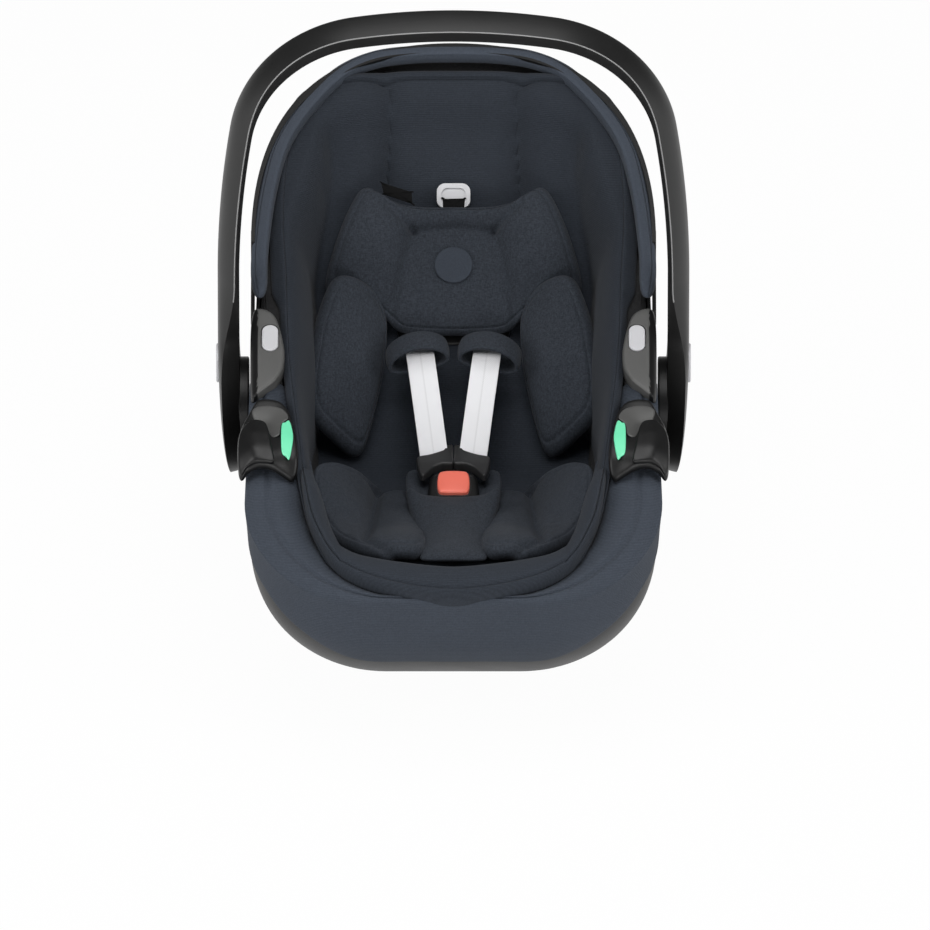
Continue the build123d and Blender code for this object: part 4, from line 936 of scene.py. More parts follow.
class CARSEAT_OT_lining(SeatStep):
    """Ribbed cover inside the shell, with its swollen wings and the roll over the rim"""

    bl_idname = "carseat.lining"
    bl_label = "Lining"

    def build(self, sizes, context):
        edge = spline(both_sides(MOUTH), LINING_ROUND, closed=True)
        heart = np.array((0.0, -20.0))
        out = outward(edge, round_heading(edge), heart)
        q = np.linspace(0, 1, LINING_DOWN)
        rho = np.where(q < 0.5, q / 0.5 * 0.72, 0.72 + 0.28 * (1 - (1 - (q - 0.5) / 0.5) ** 1.5))
        plan = heart + rho[:, None, None] * (edge - heart)
        deep = (1 - rho)[:, None] * ((edge - heart) * out).sum(1)
        x, t = plan[..., 0], plan[..., 1]
        lip = 8 - 17 * smooth(-t, 140, 200)
        back_w, seat_w = (CREASE_W + slope * (t - CREASE_T) for slope in (BACK_SLOPE, SEAT_SLOPE))
        broad = 15 + 16 * smooth(t, -110, 10) + 30 * smooth(t, 90, 210)
        wall = lip - WALL_DEPTH * (1 - np.sqrt(1 - np.clip(deep / broad, 0, 1) ** 2))
        w = smooth_max(smooth_max(back_w, seat_w, 22), wall, 14)
        seam = spline(BACK_SEAM, 160)
        start = np.interp(t, seam[::-1, 1], seam[::-1, 0])
        share = np.clip((np.abs(x) - start) / WING_WIDTH, 0, 1)
        lobe = 1 - (1 - share) ** 2.6
        lift = smooth(t, 60, 160) * sizes.wing_puff / MM * lobe
        w = w + lift * (0.25 + 0.75 * smooth(deep, 0, 36))
        gap = line_gap(np.stack([np.abs(x), t], -1), seam)
        sunk = np.exp(-((gap / 3.0) ** 2)) + 1.3 * np.exp(-((gap / 13.0) ** 2))
        w = w - sizes.seam_depth / MM * sunk * smooth(t, 40, 120)
        w = np.minimum(w, lip + 3.0 + 4 * smooth(t, 200, 270)) - 12 * smooth(-t, 266, 282)
        grid = rim(x, t, w)
        t = edge[:, 1]
        crest = sizes.roll_height / MM * (0.2 + 0.1 * smooth(t, 0, 60) + 0.45 * smooth(t, 200, 275))
        wide = 7 + 7 * smooth(t, 12, 40)
        lip = lip[-1]
        turn = np.linspace(0, math.pi, 17)[1:, None]
        near, far = (1 + np.cos(turn)) / 2, (1 - np.cos(turn)) / 2
        reach = wide * far
        roll_w = lip * near + crest * np.sin(turn) ** 0.8 + 2 * far + (w[-1] - lip) * near
        roll_w = roll_w - 1.6 * np.exp(-((reach / 1.1) ** 2))
        reach = np.concatenate([reach, wide * np.array((0.94, 0.9))[:, None]])
        roll_w = np.concatenate([roll_w, 0 * wide - np.array((6.0, 14.0))[:, None]])
        roll = rim(*np.moveaxis(edge + reach[..., None] * out, -1, 0), roll_w)
        cover = skin("cover_lining", np.concatenate([grid, roll]), round_v=True, facing=tuple(RIM_UP), sharp=60)
        thicken(cover, 0.002)
        dress(cover, "ribbed_cover", "seat", ("seat_cover",))


RING_INNER = (
    (131, -150, -6), (126, -176, -14), (118, -210, -21), (110, -240, -24), (101, -263, -20), (88, -277, -14),
    (66, -285, -10), (40, -293, -5), (18, -300, 0), (0, -302, 1),
)
RING_OUTER = (
    (141, -138, 2), (140.5, -184, 2), (135, -232, 2), (126, -262, 2), (110, -295, 2), (84, -317, 2), (44, -332, 2),
    (0, -338, 2),
)


class CARSEAT_OT_foot_ring(SeatStep):
    """Padded ring of the cover round the foot end"""

    bl_idname = "carseat.foot_ring"
    bl_label = "Foot ring"

    def build(self, sizes, context):
        count = 300
        inner, outer = (spline(right_to_left(line), count) for line in (RING_INNER, RING_OUTER))
        turn = full_turn(48)
        share = (1 - np.sign(np.cos(turn)) * np.abs(np.cos(turn)) ** 0.8) / 2
        lift = np.sign(np.sin(turn)) * np.abs(np.sin(turn)) ** 0.75
        upper = lift > 0
        place = np.linspace(0, 1, count)
        ends = smooth(np.minimum(place, 1 - place), 0.0, 0.13)
        crown = sizes.ring_crown / MM * ends
        mid = inner[:, None] + share[None, :, None] * (outer - inner)[:, None]
        mitre = np.exp(-(((np.abs(mid[..., 0]) - 104) / 3.0) ** 2)) * (mid[..., 1] < -240)
        piping = 2.6 * np.exp(-(((share - 0.84) / 0.03) ** 2)) * upper
        swell = np.where(upper, lift, 0.6 * lift)[None] * (crown[:, None] + 0.3)
        w = mid[..., 2] + swell - (piping[None] + 2.0 * mitre) * upper - 14 * (1 - ends)[:, None]
        grid = closed_ends(rim(mid[..., 0], mid[..., 1], w))
        make("foot_ring", grid, 60, "ring_cover", "seat", ())


# Skirt along half the foot end, from its middle: drop of the hem, reach of the deck inside the rim, share of its dip
HEM_DROP = ((0, 0.25, 0.4, 0.55, 0.75, 1.0), (112, 98, 68, 48, 42, 42))
DECK_REACH = ((0, 0.2, 0.45, 0.6, 0.72, 0.84, 0.9, 1.0), (12, 16, 54, 62, 60, 53, 37, 34))
DECK_DIP = ((0, 0.2, 0.45, 0.84, 0.9, 1.0), (0.45, 0.5, 1.0, 1.0, 0.3, 0.3))
# Skirt row by row: share of the drop and distance off the hull, share of the deck's reach and its height
WALL_ROWS = np.array((
    (0.0, 2.6), (0.08, 2.8), (0.16, 2.8), (0.28, 2.6), (0.42, 2.3), (0.58, 2.0), (0.74, 1.8), (0.88, 1.7), (0.97, 1.6),
    (1.0, 0.9),
))
DECK_ROWS = np.array((
    (1.0, -20.0), (0.95, -15.0), (0.88, -8.0), (0.8, -2.0), (0.7, 2.0), (0.55, 4.2), (0.44, 4.8), (0.36, 3.0),
    (0.28, 5.0), (0.2, 4.6), (0.12, 3.4), (0.05, 1.2),
))
SKIRT_COLUMNS, SKIRT_ROWS = 54, 100


class CARSEAT_OT_skirt(SeatStep):
    """Cloth skirt over the rim at the foot end, sewn along a seam and hemmed over the shell"""

    bl_idname = "carseat.skirt"
    bl_label = "Skirt"

    def build(self, sizes, context):
        own = np.arange(SKIRT_COLUMNS)
        u = np.linspace(0, 1, SKIRT_COLUMNS)
        depth = WALL_ROWS[:, :1] * np.interp(u, *HEM_DROP)
        wall = np.stack([hull_grid(row, grow)[own, own] for row, grow in zip(depth, WALL_ROWS[:, 1])])
        edge = wall[0]
        inward = quarter_turn(unit(np.gradient(edge, axis=0)))
        deck = edge[None] + (DECK_ROWS[:, :1] * np.interp(u, *DECK_REACH))[..., None] * inward[None]
        deck_w = DECK_ROWS[:, 1:] * np.ones(SKIRT_COLUMNS)
        deck_w = np.where(deck_w < 2, 2 + (deck_w - 2) * np.interp(u, *DECK_DIP), deck_w)
        plan = np.concatenate([deck, wall[1:]])
        w = np.concatenate([deck_w, 4 - depth[1:]])
        right = rim(plan[..., 0], plan[..., 1], w)
        grid = np.concatenate([mirrored(right[:, :0:-1]), right], axis=1)
        grid = catmull(grid, np.linspace(0, len(grid) - 1, SKIRT_ROWS))
        skirt = skin("foot_skirt", grid, facing=(0, -1, 0.3), sharp=60)
        thicken(skirt, 0.0014)
        # Its finish is the cover cloth made lighter, painted light standing in for the lamps on the skirt
        dress(skirt, "skirt_cloth_painted_light", "seat", ("rim_skirt",))


class CARSEAT_OT_shell(SeatStep):
    """Smooth rocker shell below the rim"""

    bl_idname = "carseat.shell"
    bl_label = "Shell"

    def build(self, sizes, context):
        probe = np.linspace(0, HULL[-1, 0], 120)
        section = hull_grid(probe, 0.0)
        z = RIM_MID[2] + section[..., 1] * RIM_ALONG[2] - probe[:, None] * RIM_UP[2]
        count = section.shape[1]
        deepest = np.array([np.interp(-BELLY_SEAM, -z[:, k], probe) for k in range(count)])
        depth = np.linspace(0, 1, 40)[:, None] * deepest[None]
        x, t = (
            np.stack([np.interp(depth[:, k], probe, section[:, k, axis]) for k in range(count)], 1) for axis in (0, 1)
        )
        right = rim(x, t, -depth)
        grid = np.concatenate([right, mirrored(right[:, -2:0:-1])], axis=1)
        shell = skin("shell_wall", grid, round_v=True, facing=(0, 0, -1), sharp=50)
        thicken(shell, 0.003)
        dress(shell, "shell_plastic", "seat", ("rocker_shell",))


PILLOW_EDGE = (
    (0, 145), (28, 146), (50, 149), (62, 160), (76, 170), (100, 176), (116, 184), (118, 200), (110, 230),
    (100, 258), (90, 279), (82, 286), (72, 282), (58, 273), (44, 268.5), (24, 267), (0, 266.5),
)
PILLOW_CROWN = twins((
    (0, 150, 25), (50, 155, 25), (0, 176, 26), (50, 176, 26), (84, 182, 29), (112, 190, 27), (0, 208, 27),
    (42, 206, 27), (58, 208, 38), (80, 212, 42), (110, 212, 36), (0, 240, 27), (34, 240, 27), (48, 243, 38),
    (66, 246, 44), (94, 255, 41), (0, 258, 36), (42, 261, 37), (62, 268, 39), (82, 279, 38),
))
PANEL_SIDE = np.array(((37.5, 243), (47, 206), (55, 174), (57, 152)))
PANEL_BROW = np.array(((62, 268), (50, 254), (38, 243)))
PANEL_TOP = ((-38, 243), (0, 246), (38, 243))
PILLOW_SEAMS = (PANEL_SIDE, mirrored(PANEL_SIDE), PANEL_BROW, mirrored(PANEL_BROW), PANEL_TOP)
DISC_RADIUS, DISC_PLACE = 17.5, 209
TAG_CORNERS = ((-65, 280), (-67, 291), (-39, 282), (-38, 270))


class CARSEAT_OT_pillow(SeatStep):
    """Head hugger with its centre panel, its plain disc and bare tag, sewn on the sliding headrest"""

    bl_idname = "carseat.pillow"
    bl_label = "Head pillow"

    def build(self, sizes, context):
        seams = [(line, sizes.seam_depth / MM * 0.8, 3.4) for line in PILLOW_SEAMS]
        grid = pad_grid(
            back, both_sides(PILLOW_EDGE), PILLOW_CROWN, 30, rows=64, turns=320, roundness=10.0, seams=seams,
            heart=(0, 212), welt=(0.93, 1.4, 0.012), floor=5.5,
        )
        pillow = skin("pillow", grid, round_v=True, sharp=70)

        def sewn(points):
            gap = points - CREASE
            plan = np.stack([gap[:, 0], gap @ BACK_ALONG], 1)
            return np.min([line_gap(plan, spline(line, 40)) for line in PILLOW_SEAMS], 0)

        blown = plump(pillow, BACK_UP, PAD_SWELL, sewn)
        dress(pillow, "pad_cloth", "headrest", ("head_pillow",))
        line = oval(DISC_RADIUS, DISC_RADIUS, 24) + (0, DISC_PLACE)
        disc = plate_grid(back, line, 21.0, 28.4, 1.0, 96, heart=(0, DISC_PLACE), dish=-0.6)
        disc = skin("plain_disc", disc, round_v=True, sharp=50)
        if blown is not None:
            carry(disc, *blown)
        dress(disc, "badge", "headrest", ("pillow_disc",))
        tag = plate_grid(back, doubled(TAG_CORNERS, (0, 0), (0.3, 0.3)), 24.0, 25.2, 0.3, 80)
        make("bare_tag", tag, 50, "tag_cloth", "headrest", ())


class CARSEAT_OT_pull_ring(SeatStep):
    """Pale web inside the headrest's pull ring and the dark tape over its lower bar"""

    bl_idname = "carseat.pull_ring"
    bl_label = "Pull ring"

    def build(self, sizes, context):
        low, high = (np.array(corner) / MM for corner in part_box("headrest_ring"))
        middle = (low + high) / 2
        gap = middle - CREASE
        s, h = gap.dot(BACK_ALONG), gap.dot(BACK_UP)
        web = ((-11, s - 4), (-11, s + 5), (-8, s + 8), (8, s + 8), (11, s + 5), (11, s - 4))
        plate = plate_grid(back, web, h - 1.6, h + 0.4, 0.5, 80, heart=(0, s + 2))
        make("ring_web", plate, 50, "button_grey", "headrest_ring")
        band = doubled(((-10, s - 15), (-10, s - 3.5), (10, s - 3.5), (10, s - 15)), (0, 0.5), (0.3, 0))
        tape = plate_grid(back, band, h - 1.0, h + 3.2, 0.6, 80, heart=(0, s - 9))
        make("tape_fold", tape, 50, "dark_weave", "headrest_ring", ("ring_tape",))


BOLSTER_EDGE = (
    (40, 195), (24, 193), (7, 185), (-3, 170), (-7, 151), (-4, 108), (3, 68), (9, 42), (15, 29), (27, 29), (47, 41),
    (66, 55), (74, 70), (76, 90), (73, 118), (68, 146), (60, 174), (52, 190),
)
BOLSTER_CROWN = (
    (28, 110, 34), (0, 100, 25), (-2, 150, 28), (10, 62, 21), (57, 90, 28), (52, 130, 31), (30, 182, 34),
    (28, 50, 21), (52, 66, 23),
)


class CARSEAT_OT_bolsters(SeatStep):
    """Side bolsters that lean on the wings, with a welt inside their edge"""

    bl_idname = "carseat.bolsters"
    bl_label = "Side bolsters"

    def build(self, sizes, context):
        grid = pad_grid(
            bolster, BOLSTER_EDGE, BOLSTER_CROWN, 25, rows=44, turns=220, roundness=8.0, welt=(0.87, 1.5, 0.02)
        )
        make_cushions("bolster", grid, "side_bolster", BOLSTER_UP, BOLSTER_SWELL)


LEG_EDGE = (
    (34, 40), (60, 34), (80, 42), (97, 58), (115, 78), (129, 106), (125, 150), (111, 190), (93, 221), (72, 240),
    (44, 246), (30, 238), (25, 212), (23, 150), (24, 80),
)
FLANK_RISE = ((30, 12), (44, 24), (60, 37), (80, 48), (110, 46), (150, 24), (190, 7), (220, 1), (250, 0))
FLANK_EDGE = ((30, 70), (44, 82), (60, 97), (80, 116), (110, 130), (150, 125), (190, 111), (220, 93), (250, 70))


def leg_crease(s):
    """Where the leg pad's sewn crease lies across the seat, at a place along it."""
    return np.minimum(72 + 0.06 * (s - 70), table(FLANK_EDGE, s) - 14)


def leg_crown(plan):
    """Leg pad heights: a flat part, and beyond its crease a flank that rises as a power of the distance."""
    x, s = plan[..., 0], plan[..., 1]
    crease = leg_crease(s)
    share = np.clip((x - crease) / (table(FLANK_EDGE, s) - crease), 0, 1.15)
    flat = 9 + 5 * np.exp(-(((x - 50) / 22) ** 2)) + 8 * smooth(s, 150, 225)
    return flat + table(FLANK_RISE, s) * share**1.15 - 4.5 * np.exp(-(((x - crease) / 5) ** 2))


class CARSEAT_OT_leg_pads(SeatStep):
    """Leg pads that rise from the seat up the side walls"""

    bl_idname = "carseat.leg_pads"
    bl_label = "Leg pads"

    def build(self, sizes, context):
        grid = pad_grid(
            seat, LEG_EDGE, leg_crown, 22, rows=44, turns=240, roundness=12.0, welt=(0.93, 1.2, 0.014)
        )

        def sewn(points):
            gap = points - CREASE
            return np.abs(gap[:, 0] - leg_crease(gap @ SEAT_ALONG))

        make_cushions("leg_cushion", grid, "leg_pad", SEAT_UP, PAD_SWELL, sewn)


CROTCH_EDGE = ((0, 34), (28, 34), (41, 42), (44, 62), (42, 90), (34, 122), (20, 130), (0, 132))
CROTCH_CROWN = twins(((0, 60, 15), (38, 44, 33), (40, 80, 26), (0, 95, 14), (30, 118, 18), (0, 128, 14)))
POCKET_EDGE = (
    (0, 105), (20, 104), (34, 100), (42, 93), (43.5, 101), (41, 120), (37, 145), (33.5, 168), (31, 192),
    (30.5, 216), (31, 238), (24, 247), (0, 249),
)
POCKET_CROWN = twins((
    (0, 108, 27), (36, 100, 31), (42, 95, 33), (0, 140, 25), (34, 140, 19), (0, 180, 18), (29, 180, 12),
    (0, 215, 15), (27, 232, 11), (0, 242, 12),
))
TONGUE_EDGE = (
    (0.5, -38), (4, -37.4), (7.2, -39), (8, -44), (12, -47.5), (22, -53), (31, -56), (34, -60), (33.6, -68),
    (31, -83), (28, -86.5), (24.5, -82), (18, -73), (10, -68.6), (0.5, -67.4), (0.4, -53),
)
BUCKLE_EDGE = ((0, -72), (15, -72.5), (20, -77), (23.4, -98), (24.4, -114), (20.5, -120.5), (0, -121.5))
PRESS_EDGE = ((0, -85.6), (10.5, -86), (14.2, -89), (15.6, -99), (14.8, -108.5), (11.4, -112.8), (0, -113.8))
# Heights of the buckle's and the tongues' undersides, and where the buckle's face and the tongues begin to fall
BUCKLE_BASE, TONGUE_BASE, BUCKLE_BROW, TONGUE_BROW = 143, 154, -88, -84


class CARSEAT_OT_buckle(SeatStep):
    """Buckle housing with its red button, and the two tongues that close over it"""

    bl_idname = "carseat.buckle"
    bl_label = "Buckle"

    def build(self, sizes, context):
        def sloped(x, y, z):
            x, y, z = np.broadcast_arrays(x, y, z)
            run = y - BUCKLE_BROW
            fall = np.where(run > 0, -0.024 * run**2, 0.27 * run)
            return np.stack([x, y, z + BUCKLE_BASE + np.where(z > 8, fall - 0.006 * x**2, 0.0)], -1)

        house = plate_grid(sloped, both_sides(BUCKLE_EDGE), 0.0, 17.6, 4.0, 140, heart=(0, -98))
        make("buckle_case", house, 40, "black_plastic", "seat", ("buckle_housing",))
        line = both_sides(np.array(PRESS_EDGE) * (1.06, 1.0))
        surround = plate_grid(sloped, line, 10.0, 18.2, 1.0, 120, heart=(0, -99), dish=1.6)
        make("buckle_surround", surround, 50, "bezel_plastic", "seat")
        line = both_sides(np.array(PRESS_EDGE) * (0.96, 0.995))
        press = plate_grid(sloped, line, 12.5, 21.8, 1.8, 120, heart=(0, -99), dish=-0.6)
        make("buckle_press_face", press, 60, "buckle_red", "buckle_button", ("buckle_button",))

        def level(x, y, z):
            x, y, z = np.broadcast_arrays(x, y, z)
            run = y - TONGUE_BROW
            rise = np.where(z > 1, 0.05 * run + 1.2 * smooth(run, 0, 18), 0.0)
            return np.stack([x, y, z + TONGUE_BASE + rise], -1)

        tongue = plate_grid(level, TONGUE_EDGE, 0.0, 7.0, 1.8, 180, heart=(15, -60))
        for side, grid in sides_of(tongue):
            node_name = f"buckle_tongue_{side}"
            make(f"tongue_plate_{side}", grid, 40, "bezel_plastic", node_name, (node_name,))


class CARSEAT_OT_crotch_pad(SeatStep):
    """Crotch pad under the buckle, with the pocket that holds the buckle's foot"""

    bl_idname = "carseat.crotch_pad"
    bl_label = "Crotch pad"

    def build(self, sizes, context):
        under = pad_grid(seat, both_sides(CROTCH_EDGE), CROTCH_CROWN, 12, rows=24, turns=160)
        make("crotch_cushion", under, 70, "pad_cloth", "seat", ("crotch_pad",))
        pocket = pad_grid(
            seat, both_sides(POCKET_EDGE), POCKET_CROWN, 16, rows=30, turns=180, roundness=9.0, heart=(0, 160), floor=0
        )
        make("crotch_pocket", pocket, 70, "pad_cloth", "seat", ())


STRAP_FOOT = np.array((17.5, -52.5, 157.2))
STRAP_BEND = back(31.0, 118.0, 46.0)
STRAP_END = back(31.0, 138.0, 7.0)
WEBBING_HALF_WIDTH, WEBBING_HALF_THICK = 13.0, 0.9
# Padded loop: middle, direction, way up, half length, rows along it, half sizes outside and inside
LOOP_MID, LOOP_AXIS, LOOP_UP = np.array((34.0, 38.0, 220.0)), np.array((0.10, 0.985, 0.14)), np.array((0.19, 0.0, 0.98))
LOOP_HALF, LOOP_ROWS, LOOP_SIZES = 13, 14, ((28.5, 14.0), (25.6, 11.0))


class CARSEAT_OT_harness(SeatStep):
    """Shoulder webbing and the padded loops on it"""

    bl_idname = "carseat.harness"
    bl_label = "Harness"

    def build(self, sizes, context):
        rise = unit(STRAP_BEND - STRAP_FOOT)
        lift = unit(BACK_UP - rise * rise.dot(BACK_UP))
        route = np.stack([
            STRAP_FOOT - 8 * rise, STRAP_FOOT + 20 * rise, (STRAP_FOOT + STRAP_BEND) / 2 + 1.5 * lift,
            STRAP_BEND - 14 * rise, STRAP_BEND, STRAP_END,
        ])
        path = spline(route, 90)
        section = oval(WEBBING_HALF_WIDTH, WEBBING_HALF_THICK, 24, 6.0)
        run = run_along(path) * MM
        wide = np.concatenate([section[:, 0], section[:1, 0]]) * MM
        uv = np.stack(np.broadcast_arrays(wide[None, :], run[:, None]), -1)
        belt = sweep(path, section, BACK_UP, caps=False)
        cut = len(belt) // 2
        loop_path = LOOP_MID + np.linspace(-LOOP_HALF, LOOP_HALF, LOOP_ROWS)[:, None] * unit(LOOP_AXIS)
        turn = full_turn(72)
        sag = -4.0 * np.cos(turn) ** 2
        outer, inner = (
            np.stack([wide * np.cos(turn), high * np.sin(turn) + sag], 1) for wide, high in LOOP_SIZES
        )
        bulge = 1 + 0.05 * np.sin(np.linspace(0, math.pi, LOOP_ROWS))[:, None]
        outside = sweep(loop_path, outer, LOOP_UP, caps=False, scale=bulge)
        loop = np.concatenate([outside, sweep(loop_path, inner, LOOP_UP, caps=False)[::-1]])
        for side, sign in SIDES:
            way = np.array((sign, 1, 1))
            low = skin(f"strap_low_{side}", belt[: cut + 1] * way, round_v=True, uv=uv[: cut + 1])
            top = skin(f"strap_high_{side}", belt[cut:] * way, round_v=True, uv=uv[cut:])
            foot, mid, end = (tuple(place * way * MM) for place in (path[4], path[cut], path[-6]))
            dress(low, "light_webbing", None, (f"shoulder_strap_{side}",))
            dress(top, "light_webbing", None)
            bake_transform(low)
            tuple(foot)
            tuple(mid)
            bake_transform(top)
            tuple(mid)
            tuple(end)
            sleeve = skin(f"shoulder_sleeve_{side}", loop * way, round_u=True, round_v=True, sharp=60)
            round_off = sleeve.modifiers.new("soften", "SUBSURF")
            round_off.levels = round_off.render_levels = 1
            dress(sleeve, "pad_cloth", "headrest", (f"shoulder_pad_{side}",))


# Handle: heights of the hub, of its foot and of the arch's start, half width, hub radius, half depth of the bar
HUB_Z, LOW_Z, ARCH_Z, HALF_SPAN, HUB_RADIUS, BAR = 185.0, 123.2, 318.2636, 217.5, 62.0, 15
# Arcs of the arch from its side to its middle: radius, first and last angle, steps
ARCH = ((1000.0, 0, 9, 30), (136.0, 9, 81, 60), (588.9867, 81, 90, 24))
# Lean of the hubs towards the seat, the height it starts from, and where the painted highlight bead along the ridge
# starts
LEAN, LEAN_TOP, HIGHLIGHT_FROM = 10.0, 256.0, 300
# Pocket of the lock button in the hub: middle, half width, half length, bottom and top
POCKET = ((0.0, 230.0), 12.5, 19.5, 202.5, 225.0)
# Face of the hub: radius and place across
HUB_FACE = np.array((
    (0, 190.5), (20, 190.5), (30, 189.6), (36, 188.8), (38, 188.6), (42, 188.5), (44.2, 188.9), (45, 190), (45, 194),
    (45, 201), (0, 201),
))


class CARSEAT_OT_handle(SeatStep):
    """Carry handle: front and rear shells along the arch, spreading into the hubs"""

    bl_idname = "carseat.handle"
    bl_label = "Handle"

    def build(self, sizes, context):
        fall = 1 - np.cos(np.linspace(0, math.pi / 2, 80))
        side = [np.stack([np.full(80, HALF_SPAN), LOW_Z + (ARCH_Z - LOW_Z) * fall], 1)]
        for radius, first, last, count in ARCH:
            a = np.radians(np.linspace(first, last, count + 1))[1:]
            b = math.radians(first)
            turn = np.stack([np.cos(a) - math.cos(b), np.sin(a) - math.sin(b)], 1)
            side.append(side[-1][-1] + radius * turn)
        path = np.concatenate(side)
        z = path[:, 1]
        lean = LEAN * np.clip((LEAN_TOP - z) / (LEAN_TOP - LOW_Z), 0, 1) ** 2
        inward = quarter_turn(unit(np.gradient(path, axis=0)))
        disc = np.sqrt(np.maximum(HUB_RADIUS**2 - (z - HUB_Z) ** 2, 0))
        neck = BAR + 47 * (0.5 + 0.5 * np.cos(math.pi * np.clip((z - HUB_Z) / 82, 0, 1)))
        wide = np.maximum(np.where(z < HUB_Z, disc, neck), 0.2)
        ridge = (3.0 + 12.5 * smooth(z, 225, 320) - 8.5 * smooth(z, 470, 590))[:, None]
        curl = (6.0 - 3.8 * smooth(z, 225, 320) - 0.6 * smooth(z, 470, 590))[:, None]
        y = np.linspace(-0.02, -BAR, 14)
        under = np.linspace(0, 1, 7)[1:]
        front = [ridge * ((13 - y) / 28) ** curl, ridge + 0.5 + (19.0 - ridge) * under, (20.0, 20.0) + 0 * ridge]
        faces = {"front": (front, (*y, *(-BAR + 4.5 * under), -9.0, -0.02))}
        y = np.linspace(0.02, 13, 10)
        rear = [ridge * ((13 - y) / 28) ** curl, (0.3, 1.4, 6, 12, 17, 19.4, 20, 20) + 0 * ridge]
        faces["rear"] = (rear, (*y, 14.3, 15, 15, 15, 14.6, 13.2, 11, 0.02))
        for name, (parts, across) in faces.items():
            n = np.concatenate(parts, 1)
            depth = np.array(across) / BAR * wide[:, None]
            x = path[:, :1] + inward[:, :1] * n - lean[:, None]
            right = np.stack([x, depth, path[:, 1:] + inward[:, 1:] * n], -1)
            whole = closed_ends(np.concatenate([right, mirrored(right[-2::-1])]))
            piece = skin(f"handle_shell_{name}", whole, round_v=True, sharp=24)
            for way in (1.0, -1.0):
                def place(y, rise, x):
                    y, rise, x = np.broadcast_arrays(y, rise, x)
                    return np.stack([way * x, y, rise], -1)

                cut_out(piece, slot_tool(place, *POCKET))
            dress(piece, "handle_plastic", "handle", (f"handle_{name}",))
        # A thin light bead along the arch's front ridge: a painted highlight standing in for the lamps' glint on the
        # edge
        line = (path + inward * (ridge + 0.1))[z > HIGHLIGHT_FROM]
        highlight_bead = np.stack([line[:, 0], np.full(len(line), -float(BAR)), line[:, 1]], 1)
        highlight_bead = sweep(np.concatenate([highlight_bead, mirrored(highlight_bead[-2::-1])]), oval(0.6, 0.6, 10), (0.0, -1.0, 0.0))
        make("handle_ridge_painted_highlight", highlight_bead, 40, "painted_highlight_plastic", "handle")
        turn = full_turn(96)
        radius, reach = HUB_FACE[:, :1], HUB_FACE[:, 1:]
        ring = np.stack(np.broadcast_arrays(reach, radius * np.cos(turn), HUB_Z + radius * np.sin(turn)), -1)
        for side, grid in sides_of(ring):
            make(f"hub_face_{side}", grid, 35, "black_plastic", "handle", (f"handle_hub_{side}",))


HEM = (
    (0, 323), (40, 321.5), (75.4, 315), (106.8, 297.5), (132.7, 267.5), (154.9, 231.7), (167.9, 200.4),
    (175.3, 168.9), (181.8, 126.8), (186.4, 74.8), (187, 44), (185.4, 17),
)
HEM_SECTION = (
    (6.4, -5.6), (6.7, -1), (6.3, 3), (4.7, 5.2), (3.1, 5.8), (2.6, 4.7), (2.1, 6.0), (0, 7), (-3, 7.1),
    (-7.4, 5.8), (-8.8, 2), (-8.8, -4), (-7, -6.8), (0, -7), (4, -7),
)
# Hem: inset from the rim's line, height over the rim. Cloth: top, drop, pleats, where it starts along the rim
HEM_INSET, HEM_HEIGHT = 6.6, 17.0
CLOTH_TOP, CLOTH_DROP, PLEATS, CLOTH_FROM = 11, 66, 6, 104


class CARSEAT_OT_canopy(SeatStep):
    """Folded canopy: padded hem over the bow and pleated cloth behind it"""

    bl_idname = "carseat.canopy"
    bl_label = "Canopy"

    def build(self, sizes, context):
        count = 260
        edge = spline(right_to_left(np.array(HEM)[::-1]), count)
        mid = edge - HEM_INSET * outward(edge, unit(np.gradient(edge, axis=0)))
        path = rim(mid[:, 0], mid[:, 1], HEM_HEIGHT)
        last = np.minimum(np.arange(count), np.arange(count)[::-1]) / 9
        taper = np.sqrt(1 - (1 - np.clip(last, 0, 1)) ** 2)[:, None]
        hem = sweep(path, HEM_SECTION, RIM_UP, scale=0.02 + 0.98 * taper)
        # The hem's finish is the slate cloth made lighter, painted light on a lit copy of the cover cloth
        make("canopy_hem", hem, 50, "canopy_cloth", "canopy", ())
        keep = np.nonzero(egg_half(HULL[0, 1:])[:, 1] > CLOTH_FROM)[0]
        fall = np.linspace(0, 1, 73)
        w = CLOTH_TOP - CLOTH_DROP * fall
        pleat = np.abs((fall * PLEATS) % 1 - 0.5) * 2
        proud = np.where(w > 4, -3.0 + 4.2 * smooth(-w, -11, -4), 1.2) + 3.4 * pleat * smooth(fall, 0.05, 0.15)
        depth = np.maximum(4 - w, 0.0)
        rows = np.stack([hull_grid(depth[k : k + 1], proud[k])[0][keep] for k in range(len(w))])
        rows = np.concatenate([rows, mirrored(rows)[:, -2::-1]], axis=1)
        grid = rim(rows[..., 0], rows[..., 1], w[:, None])
        cloth = skin("canopy_pleats", grid, facing=(0, 1, 0.2), sharp=70)
        thicken(cloth, 0.0008, 0)
        dress(cloth, "pleat_cloth", None, ("canopy_cloth",))
        tuple(rim(0, 220, -50) * MM)
        tuple(rim(0, 220, 9) * MM)
        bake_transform(cloth)


TRIM_EDGE = (
    (178, 7.5), (171, 5), (164.5, -2), (159.7, -18), (156.2, -38), (155.6, -52), (157.5, -66), (164, -79),
    (173, -88.5), (180, -95.5), (184.5, -97.8), (186.8, -90), (187.2, -50), (186.8, -10), (184.5, 6),
)
# Across from here the trim's outer side is painted black: painted shade on the side facing away
PAINTED_SHADE_FROM = 180.6 * MM


